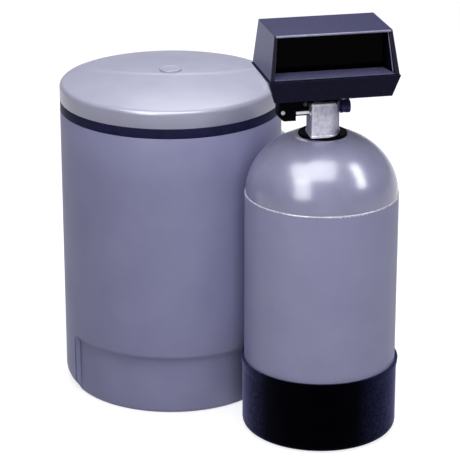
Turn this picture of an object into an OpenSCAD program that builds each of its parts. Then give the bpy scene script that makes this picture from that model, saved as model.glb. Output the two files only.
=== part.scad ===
// Two-tank water softener: resin tank with a piston valve head, and a brine tank beside it.
// Millimetres. The origin is the centre of the resin tank's boot on the floor.
// +Z is up, -Y is the side that the control panel faces, +X is to the panel's right.

/* [Resin tank] */
// Outside diameter over the jacket
resin_d = 304.8; // [260:0.1:340]
// Thickness of the jacket sleeve
jacket_t = 1.2; // [0.8:0.1:2.5]
// Height of the jacket's top edge, where the dome starts
seam_z = 498; // [420:1:620]
// Height the dome's curve would reach above the seam
dome_rise = 128; // [110:1:140]
// Height of the flat neck land above the seam
land_rise = 119; // [100:1:119]
// Height of the lower dome
foot_rise = 80; // [60:1:100]
// Wall of the vessel
vessel_wall = 5; // [4:0.5:7]
// Width of the bead along the jacket's top edge
bead_w = 3; // [2:0.5:5]

/* [Tank boot] */
// Height of the boot
boot_h = 149; // [120:1:180]
// Wall of the boot
boot_t = 3.2; // [2.5:0.1:5]
// Thickness of the boot's floor
boot_floor = 5; // [4:0.5:8]
// Flare of the boot's lip
boot_lip = 2.6; // [1:0.1:5]
// Rounding of the boot's bottom edge
boot_round = 14; // [8:1:24]
// Mean radius of the ring that carries the vessel
cradle_r = 95; // [70:1:110]
// Width of that ring
cradle_w = 10; // [6:1:16]

/* [Tank neck] */
// Thread diameter of the neck
thread_d = 63.5; // [55:0.1:66]
// Wall of the threaded insert
insert_t = 8; // [6:0.5:10]
// Depth of the insert below the neck land
insert_depth = 42; // [34:1:55]
// Diameter of the collar on the land
collar_d = 96; // [88:1:106]
// Thickness of the collar
collar_t = 5; // [4:0.5:8]

/* [Media and tubes] */
// Diameter of the riser tube
riser_d = 26.7; // [22:0.1:30]
// Wall of the riser tube
riser_t = 2.2; // [1.6:0.1:3.5]
// Diameter of the bottom strainer
strainer_d = 56; // [48:1:60]
// Height of the bottom strainer
strainer_h = 60; // [40:1:64]
// Wall of the strainers
strainer_t = 3; // [2:0.5:4]
// Slots round each strainer
strainer_slots = 20; // [12:1:28]
// Width of a strainer slot
slot_w = 1.2; // [0.8:0.1:2]
// Top of the gravel bed above the lower dome's rim
gravel_over = 4; // [2:1:30]
// Depth of the resin bed
resin_depth = 300; // [200:1:360]
// Diameter of the top strainer's basket
basket_d = 54; // [46:1:56]
// Height of the top strainer's basket
basket_h = 30; // [20:1:40]

/* [Valve body] */
// Diameter of the plated body
body_d = 64; // [60:1:72]
// Height of the plated body above the collar
body_h = 64; // [58:1:80]
// Width of the casting's flat front
front_w = 58; // [52:1:62]
// How far the flat front stands before the tank's axis
front_ahead = 44; // [40:1:46]
// Diameter of the neck inside the drive cap
cap_neck_d = 56; // [52:1:58]
// Height of that neck
cap_neck_h = 18; // [14:1:24]
// Bore of the seal stack
stack_d = 44; // [40:1:48]
// Height of the stack's floor above the collar
stack_over = 24; // [20:1:28]
// Thickness of the floor that the riser's end seats in
web_t = 10; // [8:1:12]
// Bore of the lower spigot
spigot_bore_d = 52; // [46:1:56]
// Diameter of the pipe ports' thread
port_d = 26.4; // [21:0.1:27]
// Bore of the pipe ports
port_bore_d = 19; // [14:0.5:20]
// Spacing of the two pipe ports
port_gap = 34; // [30:1:36]
// Height of the ports above the collar
port_over = 40; // [38:1:44]
// Reach of the ports behind the tank's axis
port_reach = 74; // [66:1:90]
// Length of the ports' thread
port_thread = 24; // [18:1:28]

/* [Piston and seals] */
// Seals in the stack
seal_count = 5; // [4:1:6]
// Thickness of a seal
seal_t = 3; // [2:0.5:4]
// Diameter of the piston
piston_d = 26; // [22:0.5:28]
// Length of the piston
piston_l = 30; // [24:1:32]
// Travel of the piston
piston_stroke = 20; // [14:1:20]
// Diameter of the screwed piston rod
rod_d = 12; // [10:0.5:13]
// Height of the rod above its gear
rod_over = 12; // [8:1:24]

/* [Drive] */
// Diameter of the drive cap
cap_d = 66; // [63:1:70]
// Thickness of the drive cap over the body's neck
cap_t = 8; // [6:0.5:12]
// Height of the bearing boss on the drive cap
cap_boss_h = 10; // [8:0.5:14]
// Gear module
gear_m = 1.25; // [1.1:0.05:1.3]
// Teeth of the drive gear
drive_teeth = 48; // [44:2:52]
// Teeth of the two small pinions
pinion_teeth = 14; // [14:2:16]
// Teeth of the reduction wheel
wheel_teeth = 40; // [36:2:40]
// Face width of the drive gear
drive_face = 8; // [6:0.5:10]
// Face width of the reduction wheel
wheel_face = 5; // [4:0.5:6]
// Play between meshing teeth
backlash = 0.3; // [0.2:0.05:0.4]
// Diameter of the idler pin
idler_d = 5; // [4:0.5:6]
// Thickness of the gear bracket
bracket_t = 3; // [2:0.5:5]
// Diameter of the motor
motor_d = 36; // [30:1:40]
// Height of the motor
motor_h = 32; // [24:1:40]

/* [Cover] */
// Width at the parting line
cover_w = 254; // [240:1:280]
// Depth at the parting line
cover_d = 150; // [146:1:170]
// How far the cover's middle lies in front of the tank's axis
cover_ahead = 14; // [10:1:16]
// Height of the tray
tray_h = 42.5; // [40:0.5:50]
// Height of the hood
hood_h = 84.5; // [78:0.5:100]
// Draw-in of the tray's sides towards its floor
tray_draw = 12.6; // [8:0.1:16]
// Draw-in of the hood's sides towards its top
hood_draw = 11.3; // [6:0.1:16]
// Lean of the hood's front
front_lean = 18; // [10:1:26]
// Wall of the hood and the tray
cover_t = 3; // [2.5:0.5:4]
// Rounding of the cover's upright corners
cover_round = 7; // [5:1:10]
// Width of the hood's front edge beside the recess
frame_w = 4; // [3.5:0.5:9]
// Depth of the recess in front of the panel
recess_depth = 48; // [40:1:50]
// Rise of the sill towards the panel
sill_rise = 5; // [3:1:14]
// Thickness of the control panel
panel_t = 3; // [2:0.5:4]

/* [Injector and drain] */
// Width of the injector block
block_w = 60; // [48:1:64]
// Depth of the injector block
block_d = 34; // [28:1:36]
// Height of the injector block
block_h = 46; // [42:1:48]
// Height of the block's middle above the collar
block_over = 54; // [50:1:56]
// Thickness of the injector cap
injector_cap_t = 6; // [5:0.5:8]
// Gap between the block and the drive cap
block_gap = 1; // [0.5:0.5:4]
// Depth that the body's passage boss seats in the block
link_in = 6; // [4:0.5:10]
// Diameter of the brine line's tube
line_d = 9.5; // [8:0.1:10]
// Diameter of the drain fitting
drain_d = 27; // [24:1:30]
// Reach of the drain fitting beside the tank's axis
drain_reach = 53; // [48:1:60]
// Gap between the drain fitting and the drive cap above it
drain_under = 1.5; // [1:0.5:4]
// Thread hole of the drain fitting
drain_bore_d = 16.6; // [14:0.1:18]

/* [Brine tank] */
// Outside diameter
brine_d = 457.2; // [420:0.1:500]
// Wall of the brine tank
brine_wall = 5; // [4:0.5:6]
// Height of the shoulder that carries the band
shoulder_z = 598; // [540:1:700]
// Clearance of the neck inside the lid's rounding
neck_gap = 0.6; // [0.4:0.1:3]
// Rounding of the base
base_round = 28; // [18:1:34]
// Height of the step above the recessed foot panels
step_z = 129; // [100:1:160]
// Depth of the foot panels
foot_depth = 10; // [8:0.5:14]
// Half of the angle that a foot panel spans
foot_half_angle = 62; // [40:1:70]
// Gap between the tanks
stand_gap = 6; // [4:1:60]
// Bearing of the brine tank from the resin tank
brine_bearing = 128; // [120:1:140]
// Turn of the brine tank and its lid
brine_turn = -12.5; // [-40:0.5:40]

/* [Brine lid] */
// Height of the dark band under the lid
band_h = 20; // [14:1:28]
// Height of the lid's side
skirt_h = 37; // [30:1:44]
// Wall of the lid
lid_t = 5; // [4:0.5:6]
// Rounding of the lid's edge
lid_round = 10; // [8:1:14]
// Crown of the lid
lid_rise = 17; // [10:1:24]
// Height of the raised rear half
plateau_h = 2.6; // [1.5:0.1:4]
// Radius of the raised half's front edge
crease_r = 226; // [200:1:260]
// Distance from the lid's middle to that edge
crease_ahead = 26; // [24:1:40]
// Width of the plain border round the raised half
lid_border = 34; // [26:1:50]
// Diameter of the disc in the lid's middle
disc_d = 46; // [40:1:50]
// Height of the disc
disc_h = 4; // [3:0.5:6]

/* [Inside the brine tank] */
// Thickness of the salt grid
grid_t = 6; // [4:0.5:8]
// Diameter of a hole in the grid
grid_hole_d = 12; // [8:1:14]
// Diameter of the brine well
well_d = 100; // [96:1:110]
// Wall of the brine well
well_t = 3; // [2.5:0.5:4]
// Height of the brine well
well_h = 556; // [500:1:560]
// Distance of the well from the tank's axis
well_out = 150; // [140:1:152]
// Diameter of the float
float_d = 52; // [44:1:54]
// Height of the float
float_h = 55; // [40:1:80]
// Height of the float's underside
float_z = 210; // [160:1:280]
// Diameter of the float rod
float_rod_d = 5; // [4:0.5:6]
// Travel of the float
float_travel = 14; // [8:1:20]
// Height of the safety valve's outlet
outlet_z = 520; // [480:1:530]
// Diameter of the safety valve
safety_d = 28; // [24:1:32]
// Height of the safety valve
safety_h = 40; // [36:1:46]
// Distance of the pickup tube from the well's axis
pickup_out = 33; // [32:0.5:34]
// Diameter of the air check cage
check_d = 20; // [18:0.5:22]
// Diameter of the check ball
ball_d = 10; // [8:0.5:11]
// Travel of the check ball
ball_travel = 6; // [4:0.5:8]
// Height of the overflow
overflow_z = 470; // [420:1:520]
// Bearing of the overflow on the tank
overflow_angle = 50; // [40:1:60]
// Diameter of the overflow's shank
overflow_d = 22; // [20:1:24]

/* [Fits] */
// Clearance of pieces that seat in each other
seat_gap = 0.25; // [0.15:0.05:0.4]
// Clearance of pieces that move past each other
run_gap = 0.4; // [0.3:0.05:0.6]

/* [Hidden] */
$fn = 64;
// Overlap that makes a cut run clean through
over = 1;
// Points along each quarter of a curve that is not a circle
curve_steps = 14;

// Radii and heights of the resin tank
resin_r = resin_d / 2;
vessel_r = resin_r - jacket_t - seat_gap;
vessel_in = vessel_r - vessel_wall;
vessel_low = boot_floor + 7;
foot_rim_z = vessel_low + foot_rise;
land_z = seam_z + land_rise;
collar_z = land_z + collar_t;
boot_in = resin_r + seat_gap;
boot_r = boot_in + boot_t;
insert_bore_r = thread_d / 2;
insert_r = insert_bore_r + insert_t;
riser_r = riser_d / 2;
gravel_top = foot_rim_z + gravel_over;
resin_top = gravel_top + seat_gap + resin_depth;
// Heights of the valve, from the collar up
body_r = body_d / 2;
body_top = collar_z + body_h;
cap_neck_r = cap_neck_d / 2;
neck_top = body_top + cap_neck_h;
stack_low = collar_z + stack_over;
stack_r = stack_d / 2;
web_low = stack_low - web_t;
riser_top = web_low + web_t / 2;
spigot_r = insert_bore_r - seat_gap;
spigot_low = land_z - insert_depth + 15;
plug_depth = 4;
piston_clear = 2;
stack_high = neck_top - plug_depth;
spacer_h = (stack_high - stack_low - seal_count * seal_t) / (seal_count - 1);
piston_low = stack_high - piston_clear - piston_stroke - piston_l;
piston_r = piston_d / 2;
rod_r = rod_d / 2;
port_z = collar_z + port_over;
port_step = 2;
// Heights and centres of the drive
cap_r = cap_d / 2;
cap_top = neck_top + cap_t;
boss_top = cap_top + cap_boss_h;
boss_r = rod_r + 6;
drive_low = boss_top + run_gap;
drive_high = drive_low + drive_face;
wheel_low = drive_high + 2;
wheel_high = wheel_low + wheel_face;
bracket_low = wheel_high + 3;
bracket_top = bracket_low + bracket_t;
idler_x = (drive_teeth + pinion_teeth) * gear_m / 2;
motor_x = idler_x + (wheel_teeth + pinion_teeth) * gear_m / 2;
gear_hub_r = rod_r + 4;
idler_r = idler_d / 2;
shaft_r = 2;
motor_r = motor_d / 2;
// Places of the bracket's posts, clear of every wheel
post_r = 4;
post_clear = 3;
drive_tip_r = (drive_teeth / 2 + 1) * gear_m;
wheel_tip_r = (wheel_teeth / 2 + 1) * gear_m;
post_ring = drive_tip_r + post_r + post_clear;
post_places = [
    post_ring * [-cos(45), sin(45)],
    post_ring * [-cos(40), -sin(40)],
    [idler_x + 2 * post_r, wheel_tip_r + post_r + post_clear],
    [motor_x + motor_r, -motor_r]
];
// Heights and half sizes of the cover
tray_low = cap_top;
tray_floor = tray_low + cover_t;
part_z = tray_low + tray_h;
hood_top = part_z + hood_h;
hood_low = part_z + run_gap;
front_y = -cover_ahead - cover_d / 2;
back_y = -cover_ahead + cover_d / 2;
half_w = cover_w / 2;
tray_half = half_w - tray_draw;
hood_half = half_w - hood_draw;
panel_y = front_y + recess_depth;
panel_top = hood_top - cover_t - 1.5;
board_y = panel_y + panel_t + 3;
board_t = 1.6;
board_boss_x = 60;
board_boss_low = part_z + 12;
board_boss_high = panel_top - 16;
tray_screw_ring = 27;
tray_screw_r = 2;
// Places of the injector and the drain
block_right = -cap_r - block_gap;
block_left = block_right - block_w;
block_mid_x = (block_left + block_right) / 2;
block_mid_z = collar_z + block_over;
block_low = block_mid_z - block_h / 2;
block_top = block_mid_z + block_h / 2;
block_front = -block_d + 8;
block_back = 8;
link_r = 10;
link_end = link_in - block_right;
line_r = line_d / 2;
nozzle_r = 7;
drain_r = drain_d / 2;
drain_z = body_top - drain_under - drain_r;
cap_screw_r = 2.5;
notch_w = 25;
notch_h = 10;
nose = 10;
cap_screws = [
    [block_left + 7, block_mid_z - 3],
    [block_right - 9, block_top - 11]
];
// Flat front of the valve's casting, beside the injector block
front_left = block_right + run_gap;
front_top = body_top + 5;
front_round = 4;
// Place, radii and heights of the brine tank
brine_r = brine_d / 2;
brine_in = brine_r - brine_wall;
stand_off = brine_r + boot_r + boot_lip + stand_gap;
brine_x = stand_off * cos(brine_bearing);
brine_y = stand_off * sin(brine_bearing);
brine_neck_r = brine_r - lid_round - neck_gap;
band_top = shoulder_z + band_h;
lid_low = band_top + run_gap;
lid_rim = band_top + skirt_h;
rim_z = lid_rim - lid_t - run_gap;
lid_flat_r = brine_r - lid_round;
plateau_r = brine_r - lid_border;
disc_z = lid_rim + lid_rise + plateau_h + 0.4;
disc_r = disc_d / 2;
disc_stem_r = 8;
// Places inside the brine tank
ledge_z = step_z + brine_wall * sqrt(2) - brine_wall;
grid_low = ledge_z + run_gap;
grid_r = brine_in - run_gap;
well_r = well_d / 2;
well_in = well_r - well_t;
well_low = brine_floor_z(well_out + well_r) + seat_gap;
well_top = well_low + well_h;
cap_skirt = 10;
float_r = float_d / 2;
float_rod_r = float_rod_d / 2;
safety_r = safety_d / 2;
safety_low = outlet_z - safety_h / 2;
rod_top = safety_low + safety_h / 2 - float_travel - 3;
rod_low = float_z - 14;
check_r = check_d / 2;
check_low = well_low + seat_gap;
check_h = 36;
ball_r = ball_d / 2;
check_seat = check_low + 8;
overflow_r = overflow_d / 2;

// Outlines that several pieces share

// Quarter of an ellipse from the rim in to the radius r_end, as [radius, height] points
function dome_curve(r, rise, z, r_end, up) = [
    for (i = [0 : curve_steps])
    let (a = i * acos(r_end / r) / curve_steps)
    [r * cos(a), z + up * rise * sin(a)]
];

// Height of the lower dome's underside at a radius
function foot_z(r) = foot_rim_z - foot_rise * sqrt(1 - pow(r / vessel_r, 2));

// Height of the brine tank's floor inside, at a radius
function brine_floor_z(r) =
    let (run = max(0, r - (brine_r - base_round)))
    base_round - sqrt(pow(base_round - brine_wall, 2) - pow(run, 2));

// Radius at which the upper dome reaches the neck land
function land_r(r, rise, z) = r * sqrt(1 - pow((land_z - z) / rise, 2));

// Part of a circle as points, counted from angle a to angle b
function arc(cx, cy, r, a, b, steps) = [
    for (i = [0 : steps])
    let (t = a + (b - a) * i / steps)
    [cx + r * cos(t), cy + r * sin(t)]
];

// Parabolic crown of the lid at a radius
function crown_z(r, z) = z + lid_rise * (1 - pow(r / lid_flat_r, 2));

function reversed(points) = [for (i = [len(points) - 1 : -1 : 0]) points[i]];

// Half of a tooth's angle at the radius r, on an involute of 20 degrees
function involute_roll(r, base) = let (a = acos(base / r)) tan(a) * 180 / PI - a;
function tooth_half(r, teeth) =
    let (pitch = teeth * gear_m / 2)
    let (base = pitch * cos(20))
    let (slim = backlash / 4 / pitch * 180 / PI)
    90 / teeth - slim + involute_roll(pitch, base) - involute_roll(max(r, base), base);
function tooth_points(teeth) =
    let (pitch = teeth * gear_m / 2)
    let (root = pitch - 1.2 * gear_m)
    let (tip = pitch + 0.85 * gear_m)
    let (base = max(pitch * cos(20), root))
    let (radii = [root, base, (base + pitch) / 2, pitch, (pitch + tip) / 2, tip])
    concat(
        [for (r = radii) [r, -tooth_half(r, teeth)]],
        [for (i = [len(radii) - 1 : -1 : 0]) [radii[i], tooth_half(radii[i], teeth)]]
    );
function gear_points(teeth) = [
    for (i = [0 : teeth - 1])
    for (p = tooth_points(teeth))
    p[0] * [cos(p[1] + i * 360 / teeth), sin(p[1] + i * 360 / teeth)]
];

module tube(r, r_in, z_low, z_high) {
    translate([0, 0, z_low])
    difference() {
        cylinder(r = r, h = z_high - z_low);
        translate([0, 0, -over]) cylinder(r = r_in, h = z_high - z_low + 2 * over);
    }
}

module rod(r, z_low, z_high) {
    translate([0, 0, z_low]) cylinder(r = r, h = z_high - z_low);
}

module gear(teeth, z_low, z_high) {
    translate([0, 0, z_low]) linear_extrude(z_high - z_low) polygon(gear_points(teeth));
}

// Rounded rectangle on the XY plane, between two corners
module rounded_plate(low, high, r) {
    polygon(concat(
        arc(high[0] - r, high[1] - r, r, 0, 90, 5),
        arc(low[0] + r, high[1] - r, r, 90, 180, 5),
        arc(low[0] + r, low[1] + r, r, 180, 270, 5),
        arc(high[0] - r, low[1] + r, r, 270, 360, 5)
    ));
}

// One level of the cover, as a thin rounded slab that is inset all round
module cover_level(half, y_front, y_back, z, inset) {
    translate([0, 0, z])
    linear_extrude(0.01)
    rounded_plate(
        [-half + inset, y_front + inset],
        [half - inset, y_back - inset],
        cover_round - inset / 2
    );
}

module at_brine() {
    translate([brine_x, brine_y, 0]) children();
}

module at_well() {
    at_brine() translate([well_out, 0, 0]) children();
}

module at_overflow() {
    at_brine()
    rotate([0, 0, overflow_angle])
    translate([brine_r, 0, overflow_z])
    rotate([0, 90, 0])
    children();
}

// Pieces of the resin tank

module resin_tank() {
    outer_land = land_r(vessel_r, dome_rise, seam_z);
    inner_rise = dome_rise - vessel_wall;
    color("#8c8ca6")
    difference() {
        rotate_extrude()
        polygon(concat(
            [[0, vessel_low]],
            reversed(dome_curve(vessel_r, foot_rise, foot_rim_z, 1, -1)),
            dome_curve(vessel_r, dome_rise, seam_z, outer_land, 1),
            [[0, land_z]]
        ));
        rotate_extrude()
        polygon(concat(
            [[0, vessel_low + vessel_wall]],
            reversed(dome_curve(vessel_in, foot_rise - vessel_wall, foot_rim_z, 1, -1)),
            dome_curve(vessel_in, inner_rise, seam_z, insert_r + vessel_wall, 1),
            [[0, seam_z + inner_rise * sqrt(1 - pow((insert_r + vessel_wall) / vessel_in, 2))]]
        ));
        rod(insert_r + seat_gap, seam_z, land_z + over);
    }
}

module tank_jacket() {
    color("#7e7e9a")
    tube(resin_r, resin_r - jacket_t, boot_floor + boot_h * 0.75, seam_z - bead_w);
}

module jacket_bead() {
    color("#dcdce4")
    tube(resin_r, resin_r - jacket_t, seam_z - bead_w, seam_z);
}

module tank_boot() {
    color("#16161c")
    rotate_extrude()
    polygon(concat(
        [[0, 0]],
        arc(boot_r - boot_round, boot_round, boot_round, 270, 360, 5),
        [[boot_r, boot_h - 14]],
        [[boot_r + boot_lip, boot_h - 9]],
        [[boot_r + boot_lip, boot_h]],
        [[boot_in, boot_h]],
        reversed(arc(boot_in - boot_round, boot_floor + boot_round, boot_round, 270, 360, 5)),
        [
            [cradle_r + cradle_w / 2, boot_floor],
            [cradle_r + cradle_w / 2, foot_z(cradle_r + cradle_w / 2) - seat_gap],
            [cradle_r - cradle_w / 2, foot_z(cradle_r - cradle_w / 2) - seat_gap],
            [cradle_r - cradle_w / 2, boot_floor],
            [0, boot_floor]
        ]
    ));
}

module neck_insert() {
    color("#1b1b22")
    difference() {
        union() {
            rod(collar_d / 2, land_z, collar_z);
            rod(insert_r, land_z - insert_depth, land_z);
        }
        rod(insert_bore_r, land_z - insert_depth - over, collar_z + over);
    }
}

module riser_tube() {
    color("#e4e4e0")
    tube(riser_r, riser_r - riser_t, vessel_low + vessel_wall + strainer_h * 0.85, riser_top);
}

module strainer_cuts(r, z_low, z_high) {
    for (i = [0 : strainer_slots - 1])
        rotate([0, 0, i * 360 / strainer_slots])
        translate([r - strainer_t - over, -slot_w / 2, z_low])
        cube([strainer_t + 2 * over, slot_w, z_high - z_low]);
}

module bottom_strainer() {
    r = strainer_d / 2;
    z_low = foot_rim_z - (foot_rise - vessel_wall) * sqrt(1 - pow(r / vessel_in, 2)) + seat_gap;
    z_high = vessel_low + vessel_wall + strainer_h + strainer_t;
    color("#d8d6cc")
    difference() {
        rod(r, z_low, z_high);
        rod(r - strainer_t, z_low + strainer_t, z_high - 2 * strainer_t);
        rod(riser_r + seat_gap, vessel_low + vessel_wall + strainer_h * 0.85 - seat_gap, z_high + over);
        strainer_cuts(r, z_low + 2 * strainer_t, z_high - 4 * strainer_t);
    }
}

module top_strainer() {
    z_neck = spigot_low - seat_gap;
    color("#d8d6cc")
    difference() {
        union() {
            rod(basket_d / 2, z_neck - basket_h, z_neck);
            rod(spigot_bore_d / 2 - seat_gap, z_neck - over, spigot_low + 8);
        }
        rod(basket_d / 2 - strainer_t, z_neck - basket_h + strainer_t, z_neck - strainer_t);
        rod(spigot_bore_d / 2 - strainer_t, z_neck - strainer_t - over, spigot_low + 8 + over);
        rod(riser_r + seat_gap, z_neck - basket_h - over, z_neck);
        strainer_cuts(basket_d / 2, z_neck - basket_h + 2 * strainer_t, z_neck - 2 * strainer_t);
    }
}

module gravel_bed() {
    r = vessel_in - seat_gap;
    rise = foot_rise - vessel_wall - seat_gap;
    r_core = strainer_d / 2 + seat_gap;
    strainer_top = vessel_low + vessel_wall + strainer_h + strainer_t + seat_gap;
    color("#8d8577")
    rotate_extrude()
    polygon(concat(
        reversed(dome_curve(r, rise, foot_rim_z, r_core, -1)),
        [
            [r, gravel_top],
            [riser_r + seat_gap, gravel_top],
            [riser_r + seat_gap, strainer_top],
            [r_core, strainer_top]
        ]
    ));
}

module resin_bed() {
    color("#b9812f")
    tube(vessel_in - seat_gap, riser_r + seat_gap, gravel_top + seat_gap, resin_top);
}

// Pieces of the valve

module port(side) {
    translate([side * port_gap / 2, 0, port_z]) rotate([-90, 0, 0]) children();
}

module valve_body() {
    flange_h = 5;
    color("#c4c4d0")
    difference() {
        union() {
            rod(spigot_r, spigot_low, collar_z + over);
            rod(body_r, collar_z, body_top);
            rod(body_r + 2, collar_z, collar_z + flange_h);
            rod(cap_neck_r, body_top - over, neck_top);
            // Flat front of the casting, cut away round the drive cap
            difference() {
                translate([0, 0, collar_z + run_gap])
                linear_extrude(front_top - collar_z - run_gap)
                rounded_plate([front_left, -front_ahead], [front_left + front_w, -8], front_round);
                rod(cap_r + run_gap, body_top, front_top + over);
            }
            for (side = [-1, 1]) port(side) rod(port_d / 2, 0, port_reach);
            for (side = [-1, 1]) port(side) rod(port_d / 2 + port_step, 0, port_reach - port_thread);
            translate([0, 0, block_mid_z]) rotate([0, -90, 0]) rod(link_r, body_r - 6, link_end);
        }
        rod(spigot_bore_d / 2, spigot_low - over, web_low);
        rod(riser_r + seat_gap, web_low - over, riser_top + seat_gap);
        rod(riser_r - riser_t, riser_top - over, stack_low + over);
        rod(stack_r, stack_low, neck_top + over);
        for (side = [-1, 1]) port(side) rod(port_bore_d / 2, stack_r - 4, port_reach + over);
        translate([0, 0, drain_z]) rotate([0, 90, 0]) rod(drain_r - 4, stack_r - 2, body_r + over);
        translate([0, 0, block_mid_z]) rotate([0, -90, 0]) rod(link_r - 4, stack_r - 2, link_end + over);
    }
}

module stack_seals() {
    color("#202024")
    for (i = [0 : seal_count - 1]) {
        z = stack_low + i * (seal_t + spacer_h);
        tube(stack_r - seat_gap, piston_r + run_gap, z, z + seal_t);
    }
}

module stack_spacers() {
    window_r = min(3, spacer_h / 3);
    color("#e2e0d6")
    for (i = [0 : seal_count - 2]) {
        z = stack_low + seal_t + i * (seal_t + spacer_h);
        difference() {
            tube(stack_r - seat_gap, piston_r + 3, z, z + spacer_h);
            for (turn = [0 : 60 : 300])
                translate([0, 0, z + spacer_h / 2])
                rotate([0, 90, turn])
                rod(window_r, piston_r, stack_r + over);
        }
    }
}

module piston() {
    groove = 4;
    waist = piston_r - 4;
    land = (piston_l - 2 * groove) / 3;
    color("#b98d4a")
    difference() {
        rod(piston_r, piston_low, piston_low + piston_l);
        for (i = [0 : 1])
            tube(piston_r + over, waist, piston_low + land + i * (land + groove),
                piston_low + (i + 1) * (land + groove));
        rod(rod_r - 2, piston_low + piston_l - 8, piston_low + piston_l + over);
    }
}

module piston_rod() {
    z_low = piston_low + piston_l;
    color("#d9d9dc")
    union() {
        rod(rod_r, z_low, bracket_top + rod_over);
        rod(rod_r - 2 - seat_gap, z_low - 8 + seat_gap, z_low + over);
    }
}

module drive_cap() {
    color("#1d1d24")
    difference() {
        union() {
            difference() {
                rod(cap_r, body_top, cap_top);
                rod(cap_neck_r + seat_gap, body_top - over, neck_top);
            }
            rod(boss_r, cap_top - over, boss_top);
            rod(stack_r - seat_gap, stack_high, neck_top + over);
        }
        rod(rod_r + run_gap, stack_high - over, boss_top + over);
        for (a = [45 : 90 : 315])
            rotate([0, 0, a])
            translate([tray_screw_ring, 0, 0])
            rod(tray_screw_r + seat_gap, neck_top + 1, cap_top + over);
    }
}

module drive_gear() {
    color("#efeee6")
    difference() {
        union() {
            gear(drive_teeth, drive_low, drive_high);
            rod(gear_hub_r, drive_low, bracket_low - run_gap);
        }
        rod(rod_r + run_gap, drive_low - over, bracket_low + over);
        for (a = [30 : 60 : 330])
            rotate([0, 0, a])
            translate([drive_tip_r * 0.6, 0, 0])
            rod(5, drive_low - over, drive_high + over);
    }
}

module reduction_gear() {
    color("#efeee6")
    translate([idler_x, 0, 0])
    difference() {
        union() {
            rotate([0, 0, 180 / pinion_teeth]) gear(pinion_teeth, drive_low, wheel_low);
            gear(wheel_teeth, wheel_low, wheel_high);
            rod(idler_r + 2.5, wheel_high - over, bracket_low - run_gap);
        }
        rod(idler_r + 0.08, drive_low - over, bracket_low + over);
        for (a = [30 : 60 : 330])
            rotate([0, 0, a])
            translate([wheel_tip_r * 0.66, 0, 0])
            rod(4, wheel_low - over, wheel_high + over);
    }
}

module idler_pin() {
    color("#c9c9cf")
    translate([idler_x, 0, 0]) rod(idler_r, tray_floor + seat_gap, bracket_top);
}

module gear_bracket() {
    color("#2a2a33")
    difference() {
        union() {
            hull()
                for (p = post_places)
                    translate([p[0], p[1], 0]) rod(post_r + 2, bracket_low, bracket_top, $fn = 32);
            for (p = post_places)
                translate([p[0], p[1], 0]) rod(post_r, tray_floor, bracket_low + over);
        }
        rod(rod_r + 2, bracket_low - over, bracket_top + over);
        translate([idler_x, 0, 0]) rod(idler_r + seat_gap / 2, bracket_low - over, bracket_top + over);
        translate([motor_x, 0, 0]) rod(shaft_r + 3, bracket_low - over, bracket_top + over);
    }
}

module drive_motor() {
    terminal = [3, 8, 6];
    color("#9a9aa2")
    translate([motor_x, 0, 0])
    difference() {
        union() {
            rod(motor_r, bracket_top, bracket_top + motor_h);
            rod(shaft_r + 4, bracket_top + motor_h - over, bracket_top + motor_h + 3);
            translate([-terminal[0] / 2, motor_r - 2, bracket_top + motor_h - terminal[2] - 2])
                cube(terminal);
        }
        rod(shaft_r + run_gap, bracket_top - over, bracket_top + 14);
    }
}

module motor_pinion() {
    color("#b79a4c")
    translate([motor_x, 0, 0])
    union() {
        rotate([0, 0, 180 / pinion_teeth]) gear(pinion_teeth, wheel_low - 0.5, wheel_high + 0.5);
        rod(shaft_r, wheel_high, bracket_top + 13);
    }
}

// The cover's two shells

module tray_shape(inset) {
    floor_front = front_y + tray_draw;
    floor_back = back_y - tray_draw / 2;
    hull() {
        cover_level(tray_half, floor_front, floor_back, tray_low + inset, inset);
        cover_level(half_w, front_y, back_y, part_z - 0.01 + (inset > 0 ? over : 0), inset);
    }
}

module cover_tray() {
    sill_in = half_w - cover_t - run_gap - 1.5;
    pin_boss_r = idler_r + 3;
    color("#25253a")
    difference() {
        union() {
            difference() {
                tray_shape(0);
                tray_shape(cover_t);
            }
            // Sill that rises from the front edge to the foot of the panel
            translate([sill_in, 0, 0])
            rotate([90, 0, -90])
            linear_extrude(2 * sill_in)
            polygon([
                [-front_y - 1, part_z - 0.3],
                [-front_y - 1, part_z - cover_t],
                [-panel_y + seat_gap, part_z + sill_rise - cover_t],
                [-panel_y + seat_gap, part_z + sill_rise],
                [-front_y - cover_t - run_gap, part_z]
            ]);
            // Boss that holds the idler pin's foot
            translate([idler_x, 0, 0]) rod(pin_boss_r, tray_floor - over, drive_low - run_gap);
        }
        rod(boss_r + run_gap, tray_low - over, tray_floor + over);
        translate([idler_x, 0, 0]) rod(idler_r + seat_gap / 2, tray_floor, drive_low);
        for (a = [45 : 90 : 315])
            rotate([0, 0, a])
            translate([tray_screw_ring, 0, 0])
            rod(tray_screw_r + seat_gap, tray_low - over, tray_floor + over);
    }
}

module tray_screws() {
    color("#b9b9c0")
    for (a = [45 : 90 : 315])
        rotate([0, 0, a])
        translate([tray_screw_ring, 0, 0])
        union() {
            rod(2 * tray_screw_r, tray_floor, tray_floor + 2.4);
            rod(tray_screw_r, neck_top + 1.5, tray_floor + 1);
        }
}

module hood_shape(inset) {
    hull() {
        cover_level(half_w, front_y, back_y, hood_low - (inset > 0 ? over : 0), inset);
        cover_level(hood_half, front_y + front_lean, back_y, hood_top - 3 - inset, inset);
        cover_level(hood_half, front_y + front_lean, back_y, hood_top - inset, inset + 2.5);
    }
}

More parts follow.
